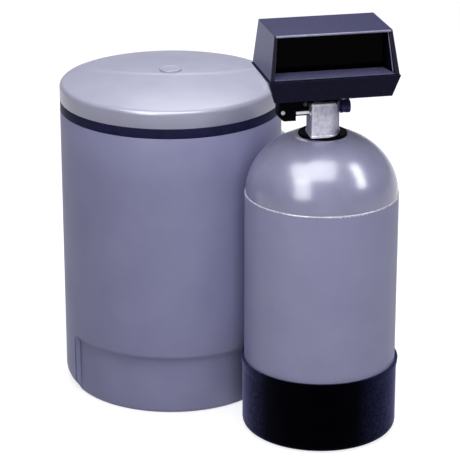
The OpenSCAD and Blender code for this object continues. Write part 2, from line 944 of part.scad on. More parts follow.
module cover_hood() {
    color("#5a5a74")
    difference() {
        hood_shape(0);
        hood_shape(cover_t);
        // Opening of the recess, between the side edges and under the top lip
        hull() {
            translate([0, 0, hood_low - over])
            linear_extrude(0.01)
            translate([0, front_y])
            square([2 * (half_w - frame_w), 2 * recess_depth], center = true);
            translate([0, 0, hood_top - frame_w])
            linear_extrude(0.01)
            translate([0, front_y])
            square([2 * (hood_half - frame_w), 2 * recess_depth], center = true);
        }
    }
}

module control_panel() {
    top_half = hood_half - cover_t - 2;
    low_half = half_w - cover_t - run_gap - 3.5;
    foot_half = tray_half - cover_t - 2;
    color("#0c0c10")
    union() {
        translate([0, panel_y + panel_t, 0])
        rotate([90, 0, 0])
        linear_extrude(panel_t)
        polygon([
            [-foot_half, tray_floor],
            [foot_half, tray_floor],
            [low_half, part_z - cover_t],
            [low_half, part_z + sill_rise],
            [top_half, panel_top],
            [-top_half, panel_top],
            [-low_half, part_z + sill_rise],
            [-low_half, part_z - cover_t]
        ]);
        // Bosses that carry the circuit board
        for (x = [-board_boss_x, board_boss_x])
            for (z = [board_boss_low, board_boss_high])
                translate([x, panel_y + panel_t - over, z])
                rotate([-90, 0, 0])
                cylinder(r = 3, h = board_y - panel_y - panel_t + over);
    }
}

module circuit_board() {
    half = board_boss_x + 10;
    z_low = board_boss_low - 8;
    z_high = board_boss_high + 8;
    chip = [28, 2.5, 16];
    relay = [18, 12, 18];
    color("#2f5a3c")
    union() {
        translate([-half, board_y, z_low]) cube([2 * half, board_t, z_high - z_low]);
        translate([-half / 2, board_y + board_t - 0.1, z_low + relay[2]]) cube(chip);
        translate([half / 4, board_y + board_t - 0.1, z_low + relay[2]]) cube(relay);
    }
}

// Injector on the body's left, drain on its right

module injector_block() {
    color("#15151b")
    difference() {
        translate([0, block_back, 0])
        rotate([90, 0, 0])
        linear_extrude(block_back - block_front - injector_cap_t)
        polygon([
            [block_right, block_top],
            [block_left, block_top],
            [block_left, block_low + nose],
            [block_left + nose, block_low],
            [block_right - notch_w, block_low],
            [block_right - notch_w, block_low + notch_h],
            [block_right, block_low + notch_h]
        ]);
        translate([block_mid_x, block_front + injector_cap_t - over, block_mid_z])
            rotate([-90, 0, 0])
            cylinder(r = nozzle_r + seat_gap, h = block_d - injector_cap_t - 12 + over);
        translate([0, 0, block_mid_z]) rotate([0, -90, 0]) {
            rod(link_r + seat_gap, body_r, link_end + seat_gap);
            rod(link_r - 5, body_r, -block_mid_x);
        }
        translate([block_mid_x - 10, block_back + over, block_mid_z - 10])
            rotate([90, 0, 0])
            cylinder(r = line_r + 2, h = 12 + over);
        for (place = cap_screws)
            translate([place[0], block_front, place[1]])
            rotate([-90, 0, 0])
            cylinder(r = cap_screw_r + seat_gap, h = injector_cap_t + 15);
    }
}

module injector_nozzle() {
    y_low = block_front + injector_cap_t + seat_gap;
    color("#c9a050")
    translate([block_mid_x, y_low, block_mid_z])
    rotate([-90, 0, 0])
    rotate_extrude()
    polygon([
        [1.2, 0], [nozzle_r, 0], [nozzle_r, 3], [nozzle_r - 2, 3], [nozzle_r - 2, 9],
        [3, 12], [1.2, 12]
    ]);
}

module injector_cap() {
    inset = 1.5;
    corner = 7;
    color("#1a1a21")
    difference() {
        translate([0, block_front + injector_cap_t, 0])
        rotate([90, 0, 0])
        linear_extrude(injector_cap_t)
        polygon(concat(
            arc(block_right - inset - corner, block_top - inset - corner, corner, 0, 90, 4),
            [
                [block_left + inset, block_top - inset],
                [block_left + inset, block_low + nose],
                [block_left + nose, block_low + inset],
                [block_right - notch_w - inset, block_low + inset],
                [block_right - notch_w - inset, block_low + notch_h + inset],
                [block_right - inset, block_low + notch_h + inset]
            ]
        ));
        for (place = cap_screws)
            translate([place[0], block_front - over, place[1]])
            rotate([-90, 0, 0])
            cylinder(r = cap_screw_r + seat_gap, h = injector_cap_t + 2 * over);
    }
}

module injector_screws() {
    color("#d6d6de")
    for (place = cap_screws)
        translate([place[0], block_front, place[1]])
        rotate([-90, 0, 0])
        union() {
            translate([0, 0, -4]) cylinder(r = cap_screw_r + 2, h = 4, $fn = 6);
            translate([0, 0, -over]) cylinder(r = cap_screw_r, h = injector_cap_t + 14 + over);
        }
}

// Angle strap: its foot lies on the side of the body's flat front, its arm holds the cap down
module block_clip() {
    strap_t = 2.2;
    strap_w = 6;
    foot_x = front_left - seat_gap;
    foot_end = -front_ahead + front_round;
    arm_y = block_front - seat_gap;
    arm_end = block_mid_x + 3;
    color("#cfcfd8")
    translate([0, 0, block_low + notch_h + 5])
    linear_extrude(strap_w)
    polygon([
        [foot_x, arm_y],
        [arm_end, arm_y],
        [arm_end, arm_y - strap_t],
        [foot_x - strap_t, arm_y - strap_t],
        [foot_x - strap_t, foot_end],
        [foot_x, foot_end]
    ]);
}

module brine_fitting() {
    y_end = block_back + 18;
    color("#e0ded2")
    translate([block_mid_x - 10, 0, block_mid_z - 10])
    rotate([-90, 0, 0])
    difference() {
        union() {
            rod(line_r + 2 - seat_gap, block_back - 11, y_end);
            translate([0, 0, block_back]) cylinder(r = line_r + 5, h = 8, $fn = 6);
        }
        rod(line_r + 0.1, block_back - 4, y_end + over);
        rod(line_r - 2, block_back - 11 - over, y_end);
    }
}

module drain_fitting() {
    shank = 8;
    seat = body_r + 2;
    color("#2b2b34")
    translate([0, 0, drain_z])
    rotate([0, 90, 0])
    difference() {
        union() {
            rod(drain_r - 4 - seat_gap, seat - shank, seat + over);
            rod(drain_r, seat, drain_reach);
        }
        rod(drain_bore_d / 2, seat + 4, drain_reach + over);
        rod(4, seat - shank - over, drain_reach);
    }
}

// Pieces of the brine tank

// Sector that sinks a foot panel into the wall, grown by the wall for the inside
module foot_panels(grow) {
    r_panel = brine_r - foot_depth - grow;
    half = foot_half_angle + grow / brine_r * 180 / PI;
    run = brine_r + foot_depth;
    chamfer = 8;
    for (facing = [-90, 90])
        rotate([0, 0, brine_turn + facing - half])
        rotate_extrude(angle = 2 * half)
        polygon([
            [r_panel - (grow > 0 ? 0 : chamfer + over), -over],
            [run, -over],
            [run, step_z + foot_depth + grow * sqrt(2)],
            [r_panel, step_z - foot_depth - grow + grow * sqrt(2)],
            [r_panel, chamfer]
        ]);
}

module brine_tank() {
    slope = brine_r - brine_neck_r + 2;
    color("#8686a0")
    at_brine()
    difference() {
        rotate_extrude()
        polygon(concat(
            [[0, 0]],
            arc(brine_r - base_round, base_round, base_round, 270, 360, 6),
            [
                [brine_r, shoulder_z],
                [brine_neck_r, shoulder_z],
                [brine_neck_r, rim_z],
                [0, rim_z]
            ]
        ));
        difference() {
            rotate_extrude()
            polygon(concat(
                [[0, brine_wall]],
                arc(brine_r - base_round, base_round, base_round - brine_wall, 270, 360, 6),
                [
                    [brine_in, shoulder_z - slope - brine_wall],
                    [brine_neck_r - brine_wall, shoulder_z - brine_wall],
                    [brine_neck_r - brine_wall, rim_z + over],
                    [0, rim_z + over]
                ]
            ));
            foot_panels(brine_wall);
        }
        foot_panels(0);
        translate([brine_in - 2 * brine_wall, 0, outlet_z])
            rotate([0, 90, 0])
            cylinder(r = line_r + 1.5 + seat_gap, h = 5 * brine_wall);
        rotate([0, 0, overflow_angle])
            translate([brine_in - 2 * brine_wall, 0, overflow_z])
            rotate([0, 90, 0])
            cylinder(r = overflow_r + seat_gap, h = 5 * brine_wall);
    }
}

module rim_band() {
    color("#23233a")
    at_brine() tube(brine_r, brine_neck_r + seat_gap, shoulder_z, band_top);
}

// Side view of the lid's skin: skirt, rounded edge and crown
function lid_profile(r, z_low, edge, z_edge) = concat(
    [[r, z_low]],
    arc(r - edge, z_edge - edge, edge, 0, 90, 6),
    [for (i = [1 : 6]) let (q = (r - edge) * (1 - i / 6)) [q, crown_z(q, z_edge)]]
);

module brine_lid() {
    color("#b4b4c6")
    at_brine()
    rotate([0, 0, brine_turn])
    difference() {
        union() {
            rotate_extrude()
            polygon(concat(
                lid_profile(brine_r, lid_low, lid_round, lid_rim),
                reversed(lid_profile(brine_r - lid_t, lid_low, lid_round - lid_t, lid_rim - lid_t))
            ));
            // Raised rear half with its curved front edge
            intersection() {
                rotate_extrude()
                polygon(concat(
                    [[0, lid_rim - 1], [plateau_r, lid_rim - 1]],
                    [
                        for (i = [0 : 5])
                        let (q = plateau_r * (1 - i / 5))
                        [q, crown_z(q, lid_rim + plateau_h)]
                    ]
                ));
                translate([0, crease_r - crease_ahead, lid_rim])
                    cylinder(r = crease_r, h = lid_rise + plateau_h + over, $fn = 128);
            }
            rod(disc_r + 2, lid_rim + lid_rise - lid_t, disc_z);
        }
        rod(disc_stem_r + seat_gap, lid_rim, disc_z + over);
    }
}

module lid_disc() {
    color("#bcbccd")
    at_brine()
    union() {
        rod(disc_r, disc_z, disc_z + disc_h - 1);
        rod(disc_r - 1.5, disc_z, disc_z + disc_h);
        rod(disc_stem_r, disc_z - plateau_h - lid_t, disc_z + over);
    }
}

module salt_grid() {
    rings = [70, 110, 150, 190];
    hole_pitch = 40;
    color("#c9c9d2")
    at_brine()
    difference() {
        rod(grid_r, grid_low, grid_low + grid_t);
        translate([well_out, 0, 0]) rod(well_r + run_gap, grid_low - over, grid_low + grid_t + over);
        for (ring = rings) {
            count = floor(2 * PI * ring / hole_pitch);
            for (i = [0 : count - 1])
                let (a = (i + 0.5) * 360 / count)
                if (norm([ring * cos(a) - well_out, ring * sin(a)]) > well_r + grid_hole_d)
                    rotate([0, 0, a])
                    translate([ring, 0, grid_low - over])
                    cylinder(r = grid_hole_d / 2, h = grid_t + 2 * over, $fn = 24);
        }
    }
}

module brine_well() {
    inlet_r = 9;
    color("#d4d4da")
    at_well()
    difference() {
        tube(well_r, well_in, well_low, well_top);
        for (a = [30 : 60 : 150])
            for (z = [well_low + 26, well_low + 62])
                translate([0, 0, z])
                rotate([0, 90, a])
                cylinder(r = inlet_r, h = 2 * well_d, center = true);
        translate([0, 0, outlet_z]) rotate([0, 90, 0]) rod(line_r + 1.5 + seat_gap, 0, well_r + over);
    }
}

module well_cap() {
    cap_wall = 2.5;
    z_high = well_top + run_gap + cap_wall;
    color("#2a2a34")
    at_well()
    difference() {
        union() {
            rod(well_r + run_gap + cap_wall, well_top - cap_skirt, z_high);
            rod(12, z_high - over, z_high + 6);
        }
        rod(well_r + run_gap, well_top - cap_skirt - over, well_top + run_gap);
    }
}

module safety_valve() {
    color("#e6e4da")
    at_well()
    difference() {
        union() {
            rod(safety_r, safety_low, safety_low + safety_h);
            rod(safety_r + 2, safety_low + safety_h - 6, safety_low + safety_h);
        }
        rod(float_rod_r + run_gap, safety_low - over, safety_low + safety_h / 2);
        translate([0, 0, outlet_z])
            rotate([0, 90, 0])
            rod(line_r + 1.5 + seat_gap, safety_r - 6, safety_r + 4);
        translate([0, 0, outlet_z + 8])
            rotate([0, -90, 0])
            rod(line_r + seat_gap, safety_r - 6, safety_r + 4);
    }
}

module brine_outlet() {
    reach = brine_r - well_out + 14;
    nut_x = brine_r - well_out + 1;
    color("#e0ded2")
    at_well()
    translate([0, 0, outlet_z])
    rotate([0, 90, 0])
    difference() {
        union() {
            rod(line_r + 1.5, safety_r - 6 + seat_gap, reach);
            translate([0, 0, nut_x]) cylinder(r = line_r + 5, h = 7, $fn = 6);
        }
        rod(line_r + 0.1, nut_x, reach + over);
        rod(line_r - 1.5, safety_r - 6, nut_x + over);
    }
}

module float() {
    color("#f0efe8")
    at_well()
    difference() {
        union() {
            rod(float_r, float_z + 4, float_z + float_h - 4);
            rod(float_r - 4, float_z, float_z + float_h);
        }
        rod(float_rod_r + 0.1, float_z - over, float_z + float_h + over);
    }
}

module float_rod() {
    stop_r = float_rod_r + 4;
    stop_t = 4;
    color("#c2c2c8")
    at_well()
    union() {
        rod(float_rod_r, rod_low, rod_top);
        rod(stop_r, float_z - stop_t, float_z);
        rod(stop_r, float_z + float_h, float_z + float_h + stop_t);
    }
}

module pickup_tube() {
    bend_z = outlet_z + 8;
    foot_z = check_low + check_h - 10;
    color("#dcdad0")
    at_well()
    difference() {
        union() {
            translate([-pickup_out, 0, 0]) rod(line_r, foot_z, bend_z + line_r);
            translate([0, 0, bend_z]) rotate([0, -90, 0]) rod(line_r, safety_r - 6 + seat_gap, pickup_out);
        }
        translate([-pickup_out, 0, 0]) rod(line_r - 1.5, foot_z - over, bend_z);
        translate([0, 0, bend_z]) rotate([0, -90, 0]) rod(line_r - 1.5, 0, pickup_out);
    }
}

module air_check() {
    room = ball_r + run_gap + 0.6;
    color("#cfd3da")
    at_well()
    translate([-pickup_out, 0, 0])
    difference() {
        rod(check_r, check_low, check_low + check_h);
        rod(ball_r - 1.5, check_low - over, check_seat + over);
        rod(room, check_seat, check_seat + ball_d + ball_travel + run_gap);
        rod(line_r - 1.5, check_seat + ball_d, check_low + check_h);
        rod(line_r + seat_gap, check_low + check_h - 10 - seat_gap, check_low + check_h + over);
        for (a = [0, 90])
            translate([0, 0, check_low + 3])
            rotate([0, 90, a])
            cylinder(r = 2.5, h = check_d + 2 * over, center = true, $fn = 24);
    }
}

module check_ball() {
    lift = sqrt(pow(ball_r, 2) - pow(ball_r - 1.5, 2)) + 0.2;
    color("#3a6ea8")
    at_well()
    translate([-pickup_out, 0, check_seat + lift])
    sphere(r = ball_r);
}

module overflow_elbow() {
    flange_z = 2.4;
    reach = 34;
    drop = 46;
    hose_length = 30;
    pipe_r = overflow_r - 2;
    hose_r = pipe_r - 1;
    bore_r = hose_r - 2;
    color("#23232b")
    at_overflow()
    difference() {
        union() {
            rod(overflow_r, -brine_wall - 12, flange_z + 1);
            rod(overflow_r + 6, flange_z, flange_z + 4);
            rod(pipe_r, flange_z, reach);
            translate([0, 0, reach]) sphere(r = pipe_r);
            translate([0, 0, reach]) rotate([0, 90, 0]) {
                rod(pipe_r, 0, drop - hose_length);
                rod(hose_r, drop - hose_length - 1, drop);
            }
        }
        rod(bore_r, -brine_wall - 12 - over, reach);
        translate([0, 0, reach]) rotate([0, 90, 0]) rod(bore_r, 0, drop + over);
    }
}

module overflow_gasket() {
    color("#101014")
    at_overflow() tube(overflow_r + 5, overflow_r + seat_gap, seat_gap, 2.4);
}

module overflow_nut() {
    nut_r = overflow_r + 6;
    sag = brine_in - sqrt(pow(brine_in, 2) - pow(nut_r, 2));
    nut_top = -brine_wall - sag - 0.1;
    color("#23232b")
    at_overflow()
    difference() {
        translate([0, 0, nut_top - 6]) cylinder(r = nut_r, h = 6, $fn = 6);
        rod(overflow_r + seat_gap / 2, nut_top - 6 - over, nut_top + over);
    }
}

resin_tank();
tank_jacket();
jacket_bead();
tank_boot();
neck_insert();
riser_tube();
bottom_strainer();
top_strainer();
gravel_bed();
resin_bed();
valve_body();
stack_seals();
stack_spacers();
piston();
piston_rod();
drive_cap();
drive_gear();
reduction_gear();
idler_pin();
gear_bracket();
drive_motor();
motor_pinion();
cover_tray();
tray_screws();
control_panel();
circuit_board();
cover_hood();
injector_block();
injector_nozzle();
injector_cap();
injector_screws();
block_clip();
brine_fitting();
drain_fitting();
brine_tank();
rim_band();
brine_lid();
lid_disc();
salt_grid();
brine_well();
well_cap();
safety_valve();
brine_outlet();
float();
float_rod();
pickup_tube();
air_check();
check_ball();
overflow_elbow();
overflow_gasket();
overflow_nut();
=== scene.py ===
import math

import bmesh
import bpy
from mathutils import Matrix, Vector


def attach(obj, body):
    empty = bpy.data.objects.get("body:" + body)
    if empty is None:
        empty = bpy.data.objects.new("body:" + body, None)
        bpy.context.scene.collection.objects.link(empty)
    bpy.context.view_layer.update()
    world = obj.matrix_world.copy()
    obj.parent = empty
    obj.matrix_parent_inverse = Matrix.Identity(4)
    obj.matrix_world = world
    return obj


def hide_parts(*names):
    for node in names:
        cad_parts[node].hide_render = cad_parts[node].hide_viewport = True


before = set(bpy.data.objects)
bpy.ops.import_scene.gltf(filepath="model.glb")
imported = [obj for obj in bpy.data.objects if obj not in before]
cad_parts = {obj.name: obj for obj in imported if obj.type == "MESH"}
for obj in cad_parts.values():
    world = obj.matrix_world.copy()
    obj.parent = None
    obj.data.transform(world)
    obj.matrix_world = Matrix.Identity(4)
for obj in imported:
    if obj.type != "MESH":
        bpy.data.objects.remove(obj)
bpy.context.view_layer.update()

# Camera
# The photograph looks down on the set by about 20 degrees from its front left, through a long lens.
look_down = 20.14
look_right = 12.5
camera = bpy.data.objects.new("camera", bpy.data.cameras.new("camera"))
camera.data.sensor_width = 36
camera.data.lens = 172.17
camera.location = (-1.0657, -3.9699, 1.9219)
camera.rotation_euler = (math.radians(90 - look_down), 0, math.radians(-look_right))
bpy.context.scene.collection.objects.link(camera)
bpy.context.scene.camera = camera

# Studio
# A pale paper sweep. The bar, the window, the strip and the backdrop show only as highlights: the first
# two make the angled one on the dome, the strip the one beside it, the backdrop the sheen on the hood.
# The sky, the key and the rear box are fills, which light the surfaces and show in none of them.
bpy.context.scene.view_settings.view_transform = "Standard"


def linear(code):
    """Linear colour, with alpha, of an sRGB hex code."""
    parts = [int(code[i:i + 2], 16) / 255 for i in (1, 3, 5)]
    return [c / 12.92 if c <= 0.04045 else ((c + 0.055) / 1.055) ** 2.4 for c in parts] + [1]


def add_node(tree, kind, inputs=None, **settings):
    """Adds a node with its settings, and sets each input or links it to a socket."""
    node = tree.nodes.new(kind)
    for key, value in settings.items():
        setattr(node, key, value)
    for key, value in (inputs or {}).items():
        if isinstance(value, bpy.types.NodeSocket):
            tree.links.new(value, node.inputs[key])
        else:
            node.inputs[key].default_value = value
    return node


def shader_of(finish):
    """The shader of a material."""
    return finish.node_tree.nodes["Principled BSDF"]


def new_finish(name, sockets):
    """Material whose shader has the given socket values, with a node ready for Object coordinates."""
    finish = bpy.data.materials.new(name)
    finish.use_nodes = True
    for socket, value in sockets.items():
        shader_of(finish).inputs[socket].default_value = value
    add_node(finish.node_tree, "ShaderNodeTexCoord", name="place")
    return finish


def softbox(name, place, aim, along, size, power):
    """Rectangular area light at a place, turned to a point, with its long side along a direction."""
    lamp = bpy.data.lights.new(name, "AREA")
    lamp.shape = "RECTANGLE"
    lamp.size, lamp.size_y = size
    lamp.energy = power
    holder = bpy.data.objects.new(name, lamp)
    back = (Vector(place) - Vector(aim)).normalized()
    side = (Vector(along) - back * back.dot(Vector(along))).normalized()
    turned = Matrix((side, back.cross(side), back)).transposed().to_4x4()
    holder.matrix_world = Matrix.Translation(place) @ turned
    bpy.context.scene.collection.objects.link(holder)
    return holder


# The room is pale where the camera sees it and dim as a light, so the softboxes do the work.
room = bpy.data.worlds.new("room")
room.use_nodes = True
dim = room.node_tree.nodes["Background"]
dim.inputs["Color"].default_value = linear("#e6e6f6")
dim.inputs["Strength"].default_value = 0.21
pale = add_node(room.node_tree, "ShaderNodeBackground", {"Color": linear("#f0f0f2")})
ray = add_node(room.node_tree, "ShaderNodeLightPath")
walls = add_node(room.node_tree, "ShaderNodeMixShader", {
    0: ray.outputs["Is Camera Ray"], 1: dim.outputs["Background"], 2: pale.outputs["Background"],
})
room.node_tree.links.new(walls.outputs["Shader"], room.node_tree.nodes["World Output"].inputs["Surface"])
bpy.context.scene.world = room

dome = (0, -0.1, 0.56)
middle = (-0.2, 0.1, 0.4)
behind_lid = (-0.2, 0.3, 0.67)
level = (1, 0, 0)
bar = softbox("bar", (-0.51, -0.60, 2.22), dome, (2.0, -0.67, 0.3), (2.0, 1.25), 64)
window = softbox("window", (-1.29, -1.24, 1.51), dome, (0.55, -0.48, 0.18), (0.82, 1.28), 27)
strip = softbox("strip", (1.39, -0.76, 1.84), dome, (0.42, -1.03, -0.98), (1.40, 0.45), 30)
backdrop = softbox("backdrop", (0.38, 2.3, 2.8), behind_lid, level, (1.0, 1.5), 12.5)
for gloss in (bar, window, strip, backdrop):
    gloss.visible_diffuse = False
sky = softbox("sky", (-0.2, -0.3, 2.9), middle, level, (3.0, 3.0), 91)
key = softbox("key", (-0.5, -4.0, 1.0), middle, level, (1.6, 1.6), 40)
rear = softbox("rear", (0.6, 3.6, 2.2), middle, level, (3.0, 1.6), 26)
for fill in (sky, key, rear):
    fill.visible_glossy = False

floor_shape = bmesh.new()
bmesh.ops.create_grid(floor_shape, x_segments=1, y_segments=1, size=60)
floor_mesh = bpy.data.meshes.new("floor")
floor_shape.to_mesh(floor_mesh)
floor_shape.free()
floor = bpy.data.objects.new("floor", floor_mesh)
bpy.context.scene.collection.objects.link(floor)
# Matt paper, lit until it is nearly white, so that the set stands on no visible edge.
paper = new_finish("matt paper sweep", {
    "Base Color": linear("#a8a8b0"), "Roughness": 0.9, "Specular IOR Level": 0.1,
    "Emission Color": linear("#ffffff"), "Emission Strength": 0.78,
})
floor_mesh.materials.append(paper)
floor.visible_diffuse = False

# Resin vessel
# A blow-moulded liner wound with glass fibre and coated with a clear gel, so it is hard and glossy.
# The windings make its dome faintly uneven, and it stands in the boot on its lower dome.
mm = 0.001
fine_steps = 192


def skin(shape, rings):
    """Adds the faces between each ring of vertices and the next; a ring of one vertex is a pole."""
    for low, high in zip(rings, rings[1:]):
        steps = max(len(low), len(high))
        for i in range(steps):
            j = (i + 1) % steps
            corners = [low[i % len(low)], low[j % len(low)], high[j % len(high)], high[i % len(high)]]
            corners = list(dict.fromkeys(corners))
            if len(corners) > 2:
                shape.faces.new(corners)


def turn(shape, outline, place, steps):
    """Adds to a bmesh the solid that a closed outline of [radius, height] millimetres makes when turned."""
    rings = []
    for r, z in outline:
        angles = [math.tau * i / steps for i in range(steps if r > 0 else 1)]
        rings.append([
            shape.verts.new(place @ Vector((r * math.cos(a), r * math.sin(a), z)) * mm) for a in angles
        ])
    skin(shape, rings + rings[:1])


def finished(name, shape, sharp=35):
    """Object at the origin from a bmesh, smooth except at edges that are sharper than the angle."""
    bmesh.ops.recalc_face_normals(shape, faces=shape.faces)
    mesh = bpy.data.meshes.new(name)
    shape.to_mesh(mesh)
    shape.free()
    mesh.shade_smooth()
    mesh.set_sharp_from_angle(angle=math.radians(sharp))
    piece = bpy.data.objects.new(name, mesh)
    bpy.context.scene.collection.objects.link(piece)
    return piece


def coat(piece, finish):
    """Gives a piece one finish."""
    piece.data.materials.clear()
    piece.data.materials.append(finish)


def stands_for(piece, finish, node, body="base"):
    """Gives a piece its finish and lets it stand for a node of the frame, on that node's body."""
    coat(piece, finish)
    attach(piece, body)
    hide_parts(node)


def place_of(finish):
    """The Object coordinates of a material."""
    return finish.node_tree.nodes["place"].outputs["Object"]


def clouded(finish, dark, light, size_mm):
    """Soft patches between two shades, as pigment settles in moulded plastic; sizes in millimetres."""
    tree = finish.node_tree
    clouds = add_node(tree, "ShaderNodeTexNoise", {
        "Vector": place_of(finish), "Scale": 1 / (size_mm * mm), "Detail": 4.0, "Roughness": 0.55,
    })
    shade = add_node(tree, "ShaderNodeValToRGB", {"Fac": clouds.outputs["Fac"]})
    shade.color_ramp.elements[0].position = 0.3
    shade.color_ramp.elements[0].color = linear(dark)
    shade.color_ramp.elements[1].position = 0.7
    shade.color_ramp.elements[1].color = linear(light)
    tree.links.new(shade.outputs["Color"], shader_of(finish).inputs["Base Color"])


def grained(finish, size_mm, depth_mm, strength=0.6):
    """Fine relief of the mould's texture; the grain's width and depth are in millimetres."""
    tree = finish.node_tree
    grain = add_node(tree, "ShaderNodeTexNoise", {
        "Vector": place_of(finish), "Scale": 1 / (size_mm * mm), "Detail": 3.0,
    })
    relief = add_node(tree, "ShaderNodeBump", {
        "Height": grain.outputs["Fac"], "Distance": depth_mm * mm, "Strength": strength,
    })
    tree.links.new(relief.outputs["Normal"], shader_of(finish).inputs["Normal"])


# Gel coat over wound glass fibre: a clear hard gloss on grey. The windings, about 14 mm apart, leave
# a slow ripple, so the highlights on the dome have soft, uneven edges.
gel_coat = new_finish("gel-coated wound glass fibre", {
    "Roughness": 0.36, "Specular IOR Level": 0.15,
    "Coat Weight": 1.0, "Coat IOR": 1.6, "Coat Roughness": 0.22,
})
clouded(gel_coat, "#8c8cab", "#9595b3", 45)
grained(gel_coat, 14, 0.35, 0.5)

seam_z = 498
foot_z = 92
land_z = 617
vessel_r = 150.95
dome_rise = 128
foot_rise = 80
vessel_wall = 5
neck_r = 40
bore_r = vessel_r - vessel_wall
land_angle = math.asin((land_z - seam_z) / dome_rise)
bore_angle = math.acos(neck_r / bore_r)
vessel_outline = [(vessel_r * math.sin(a), foot_z - foot_rise * math.cos(a))
                  for a in [math.radians(3 * i) for i in range(31)]]
vessel_outline += [(vessel_r * math.cos(a), seam_z + dome_rise * math.sin(a))
                   for a in [land_angle * i / 40 for i in range(41)]]
vessel_outline += [(neck_r, land_z)]
vessel_outline += [(bore_r * math.cos(a), seam_z + (dome_rise - vessel_wall) * math.sin(a))
                   for a in [bore_angle * (1 - i / 20) for i in range(21)]]
vessel_outline += [(bore_r * math.cos(a), foot_z - (foot_rise - vessel_wall) * math.sin(a))
                   for a in [math.radians(6 * i) for i in range(15)]]
vessel_outline += [(0, foot_z - foot_rise + vessel_wall)]
at_vessel = Matrix.Identity(4)
vessel = bmesh.new()
turn(vessel, vessel_outline, at_vessel, fine_steps)
stands_for(finished("vessel_shell", vessel), gel_coat, "resin_tank")

# Jacket sleeve
# A thin calendered vinyl sleeve slid over the vessel's straight wall, satin and even all round.
# Its lower edge is tucked inside the boot's lip, and its upper edge ends under the sealing bead.


def rounded(corners, steps=4):
    """Closed outline in which each corner [x, y, radius] is an arc; a radius of 0 stays sharp."""
    points = []
    for k, (x, y, radius) in enumerate(corners):
        corner = Vector((x, y))
        if radius == 0:
            points.append((x, y))
            continue
        before = (Vector(corners[k - 1][:2]) - corner).normalized()
        after = (Vector(corners[(k + 1) % len(corners)][:2]) - corner).normalized()
        half = before.angle(after) / 2
        centre = corner + (before + after).normalized() * radius / math.sin(half)
        start = corner + before * radius / math.tan(half) - centre
        end = corner + after * radius / math.tan(half) - centre
        sweep = start.angle_signed(end)
        for i in range(steps + 1):
            arm = start.copy()
            arm.rotate(Matrix.Rotation(-sweep * i / steps, 2))
            points.append(tuple(centre + arm))
    return points


# Satin vinyl: an even tone with no clear highlight, and a faint grain that is drawn at 1.6 mm, coarser
# than the real one.
sleeve_vinyl = new_finish("satin vinyl sleeve", {"Roughness": 0.5})
clouded(sleeve_vinyl, "#9292b5", "#9898ba", 60)
grained(sleeve_vinyl, 1.6, 0.05)
sleeve_top = 495
sleeve = bmesh.new()
turn(sleeve, rounded([
    (151.2, 116.8, 0), (152.4, 116.8, 0), (152.4, sleeve_top, 0.5), (151.2, sleeve_top, 0.3),
], steps=6), at_vessel, fine_steps)
stands_for(finished("sleeve", sleeve), sleeve_vinyl, "tank_jacket")

# Sealing bead
# Clear sealant, laid by hand as a bead along the sleeve's top edge so that no water gets behind it.
# A few small runs of it have set below the bead at the front.

# Cured sealant: pale and slightly wet looking, lighter and darker in turn along the edge.
bead_seal = new_finish("pale sealing bead", {"Roughness": 0.3, "Coat Weight": 0.5})
clouded(bead_seal, "#aeaec6", "#e6e6ee", 9)
bead = bmesh.new()
turn(bead, rounded([
    (150.9, sleeve_top, 0), (152.4, sleeve_top, 0.3), (152.9, 496.2, 0.6), (152.2, 497.8, 0.6),
    (150.9, seam_z, 0),
]), at_vessel, fine_steps)
stands_for(finished("sealing_bead", bead, 60), bead_seal, "jacket_bead")


def geometry_tree(name, inputs):
    """Empty geometry tree with named float inputs; returns it with its input and output nodes."""
    tree = bpy.data.node_groups.new(name, "GeometryNodeTree")
    tree.interface.new_socket("Geometry", in_out="OUTPUT", socket_type="NodeSocketGeometry")
    for socket in inputs:
        tree.interface.new_socket(socket, in_out="INPUT", socket_type="NodeSocketFloat")
    return tree, tree.nodes.new("NodeGroupInput"), tree.nodes.new("NodeGroupOutput")


def dress(tree, result, instances, finish):
    """Ends a geometry tree: makes its instances real and gives them their finish."""
    solid = add_node(tree, "GeometryNodeRealizeInstances", {"Geometry": instances})
    dressed = add_node(tree, "GeometryNodeSetMaterial", {
        "Geometry": solid.outputs["Geometry"], "Material": finish,
    })
    tree.links.new(dressed.outputs["Geometry"], result.inputs["Geometry"])


def grown(name, tree, sizes):
    """Plain mesh object from a geometry tree; sizes are its named inputs in metres or counts."""
    holder = bpy.data.objects.new(name, bpy.data.meshes.new(name))
    bpy.context.scene.collection.objects.link(holder)
    maker = holder.modifiers.new("maker", "NODES")
    maker.node_group = tree
    for socket in tree.interface.items_tree:
        if socket.in_out == "INPUT" and socket.name in sizes:
            maker[socket.identifier] = sizes[socket.name]
    bpy.context.view_layer.update()
    shown = holder.evaluated_get(bpy.context.evaluated_depsgraph_get())
    made = bpy.data.meshes.new_from_object(shown)
    holder.modifiers.remove(maker)
    holder.data = made
    return holder


def trim_of(piece, finish, body="base"):
    """Gives a piece its finish and hangs it on a body of the frame."""
    coat(piece, finish)
    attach(piece, body)


runs, given, result = geometry_tree("runs below the bead", ["Ring radius", "Height", "Drop size"])
arc = add_node(runs, "GeometryNodeCurveArc", {
    "Radius": given.outputs["Ring radius"],
    "Start Angle": math.radians(-98),
    "Sweep Angle": math.radians(28),
    "Resolution": 9,
})
lifted = add_node(runs, "ShaderNodeCombineXYZ", {"Z": given.outputs["Height"]})
moved = add_node(runs, "GeometryNodeTransform", {
    "Geometry": arc.outputs["Curve"], "Translation": lifted.outputs["Vector"],
})
drop = add_node(runs, "GeometryNodeMeshIcoSphere", {
    "Radius": given.outputs["Drop size"], "Subdivisions": 3,
})
spread = add_node(runs, "FunctionNodeRandomValue", {
    0: (0.5, 0.5, 0.4), 1: (1.5, 1.5, 2.4), "Seed": 7,
}, data_type="FLOAT_VECTOR")
drops = add_node(runs, "GeometryNodeInstanceOnPoints", {
    "Points": moved.outputs["Geometry"], "Instance": drop.outputs["Mesh"],
    "Scale": spread.outputs["Value"],
})
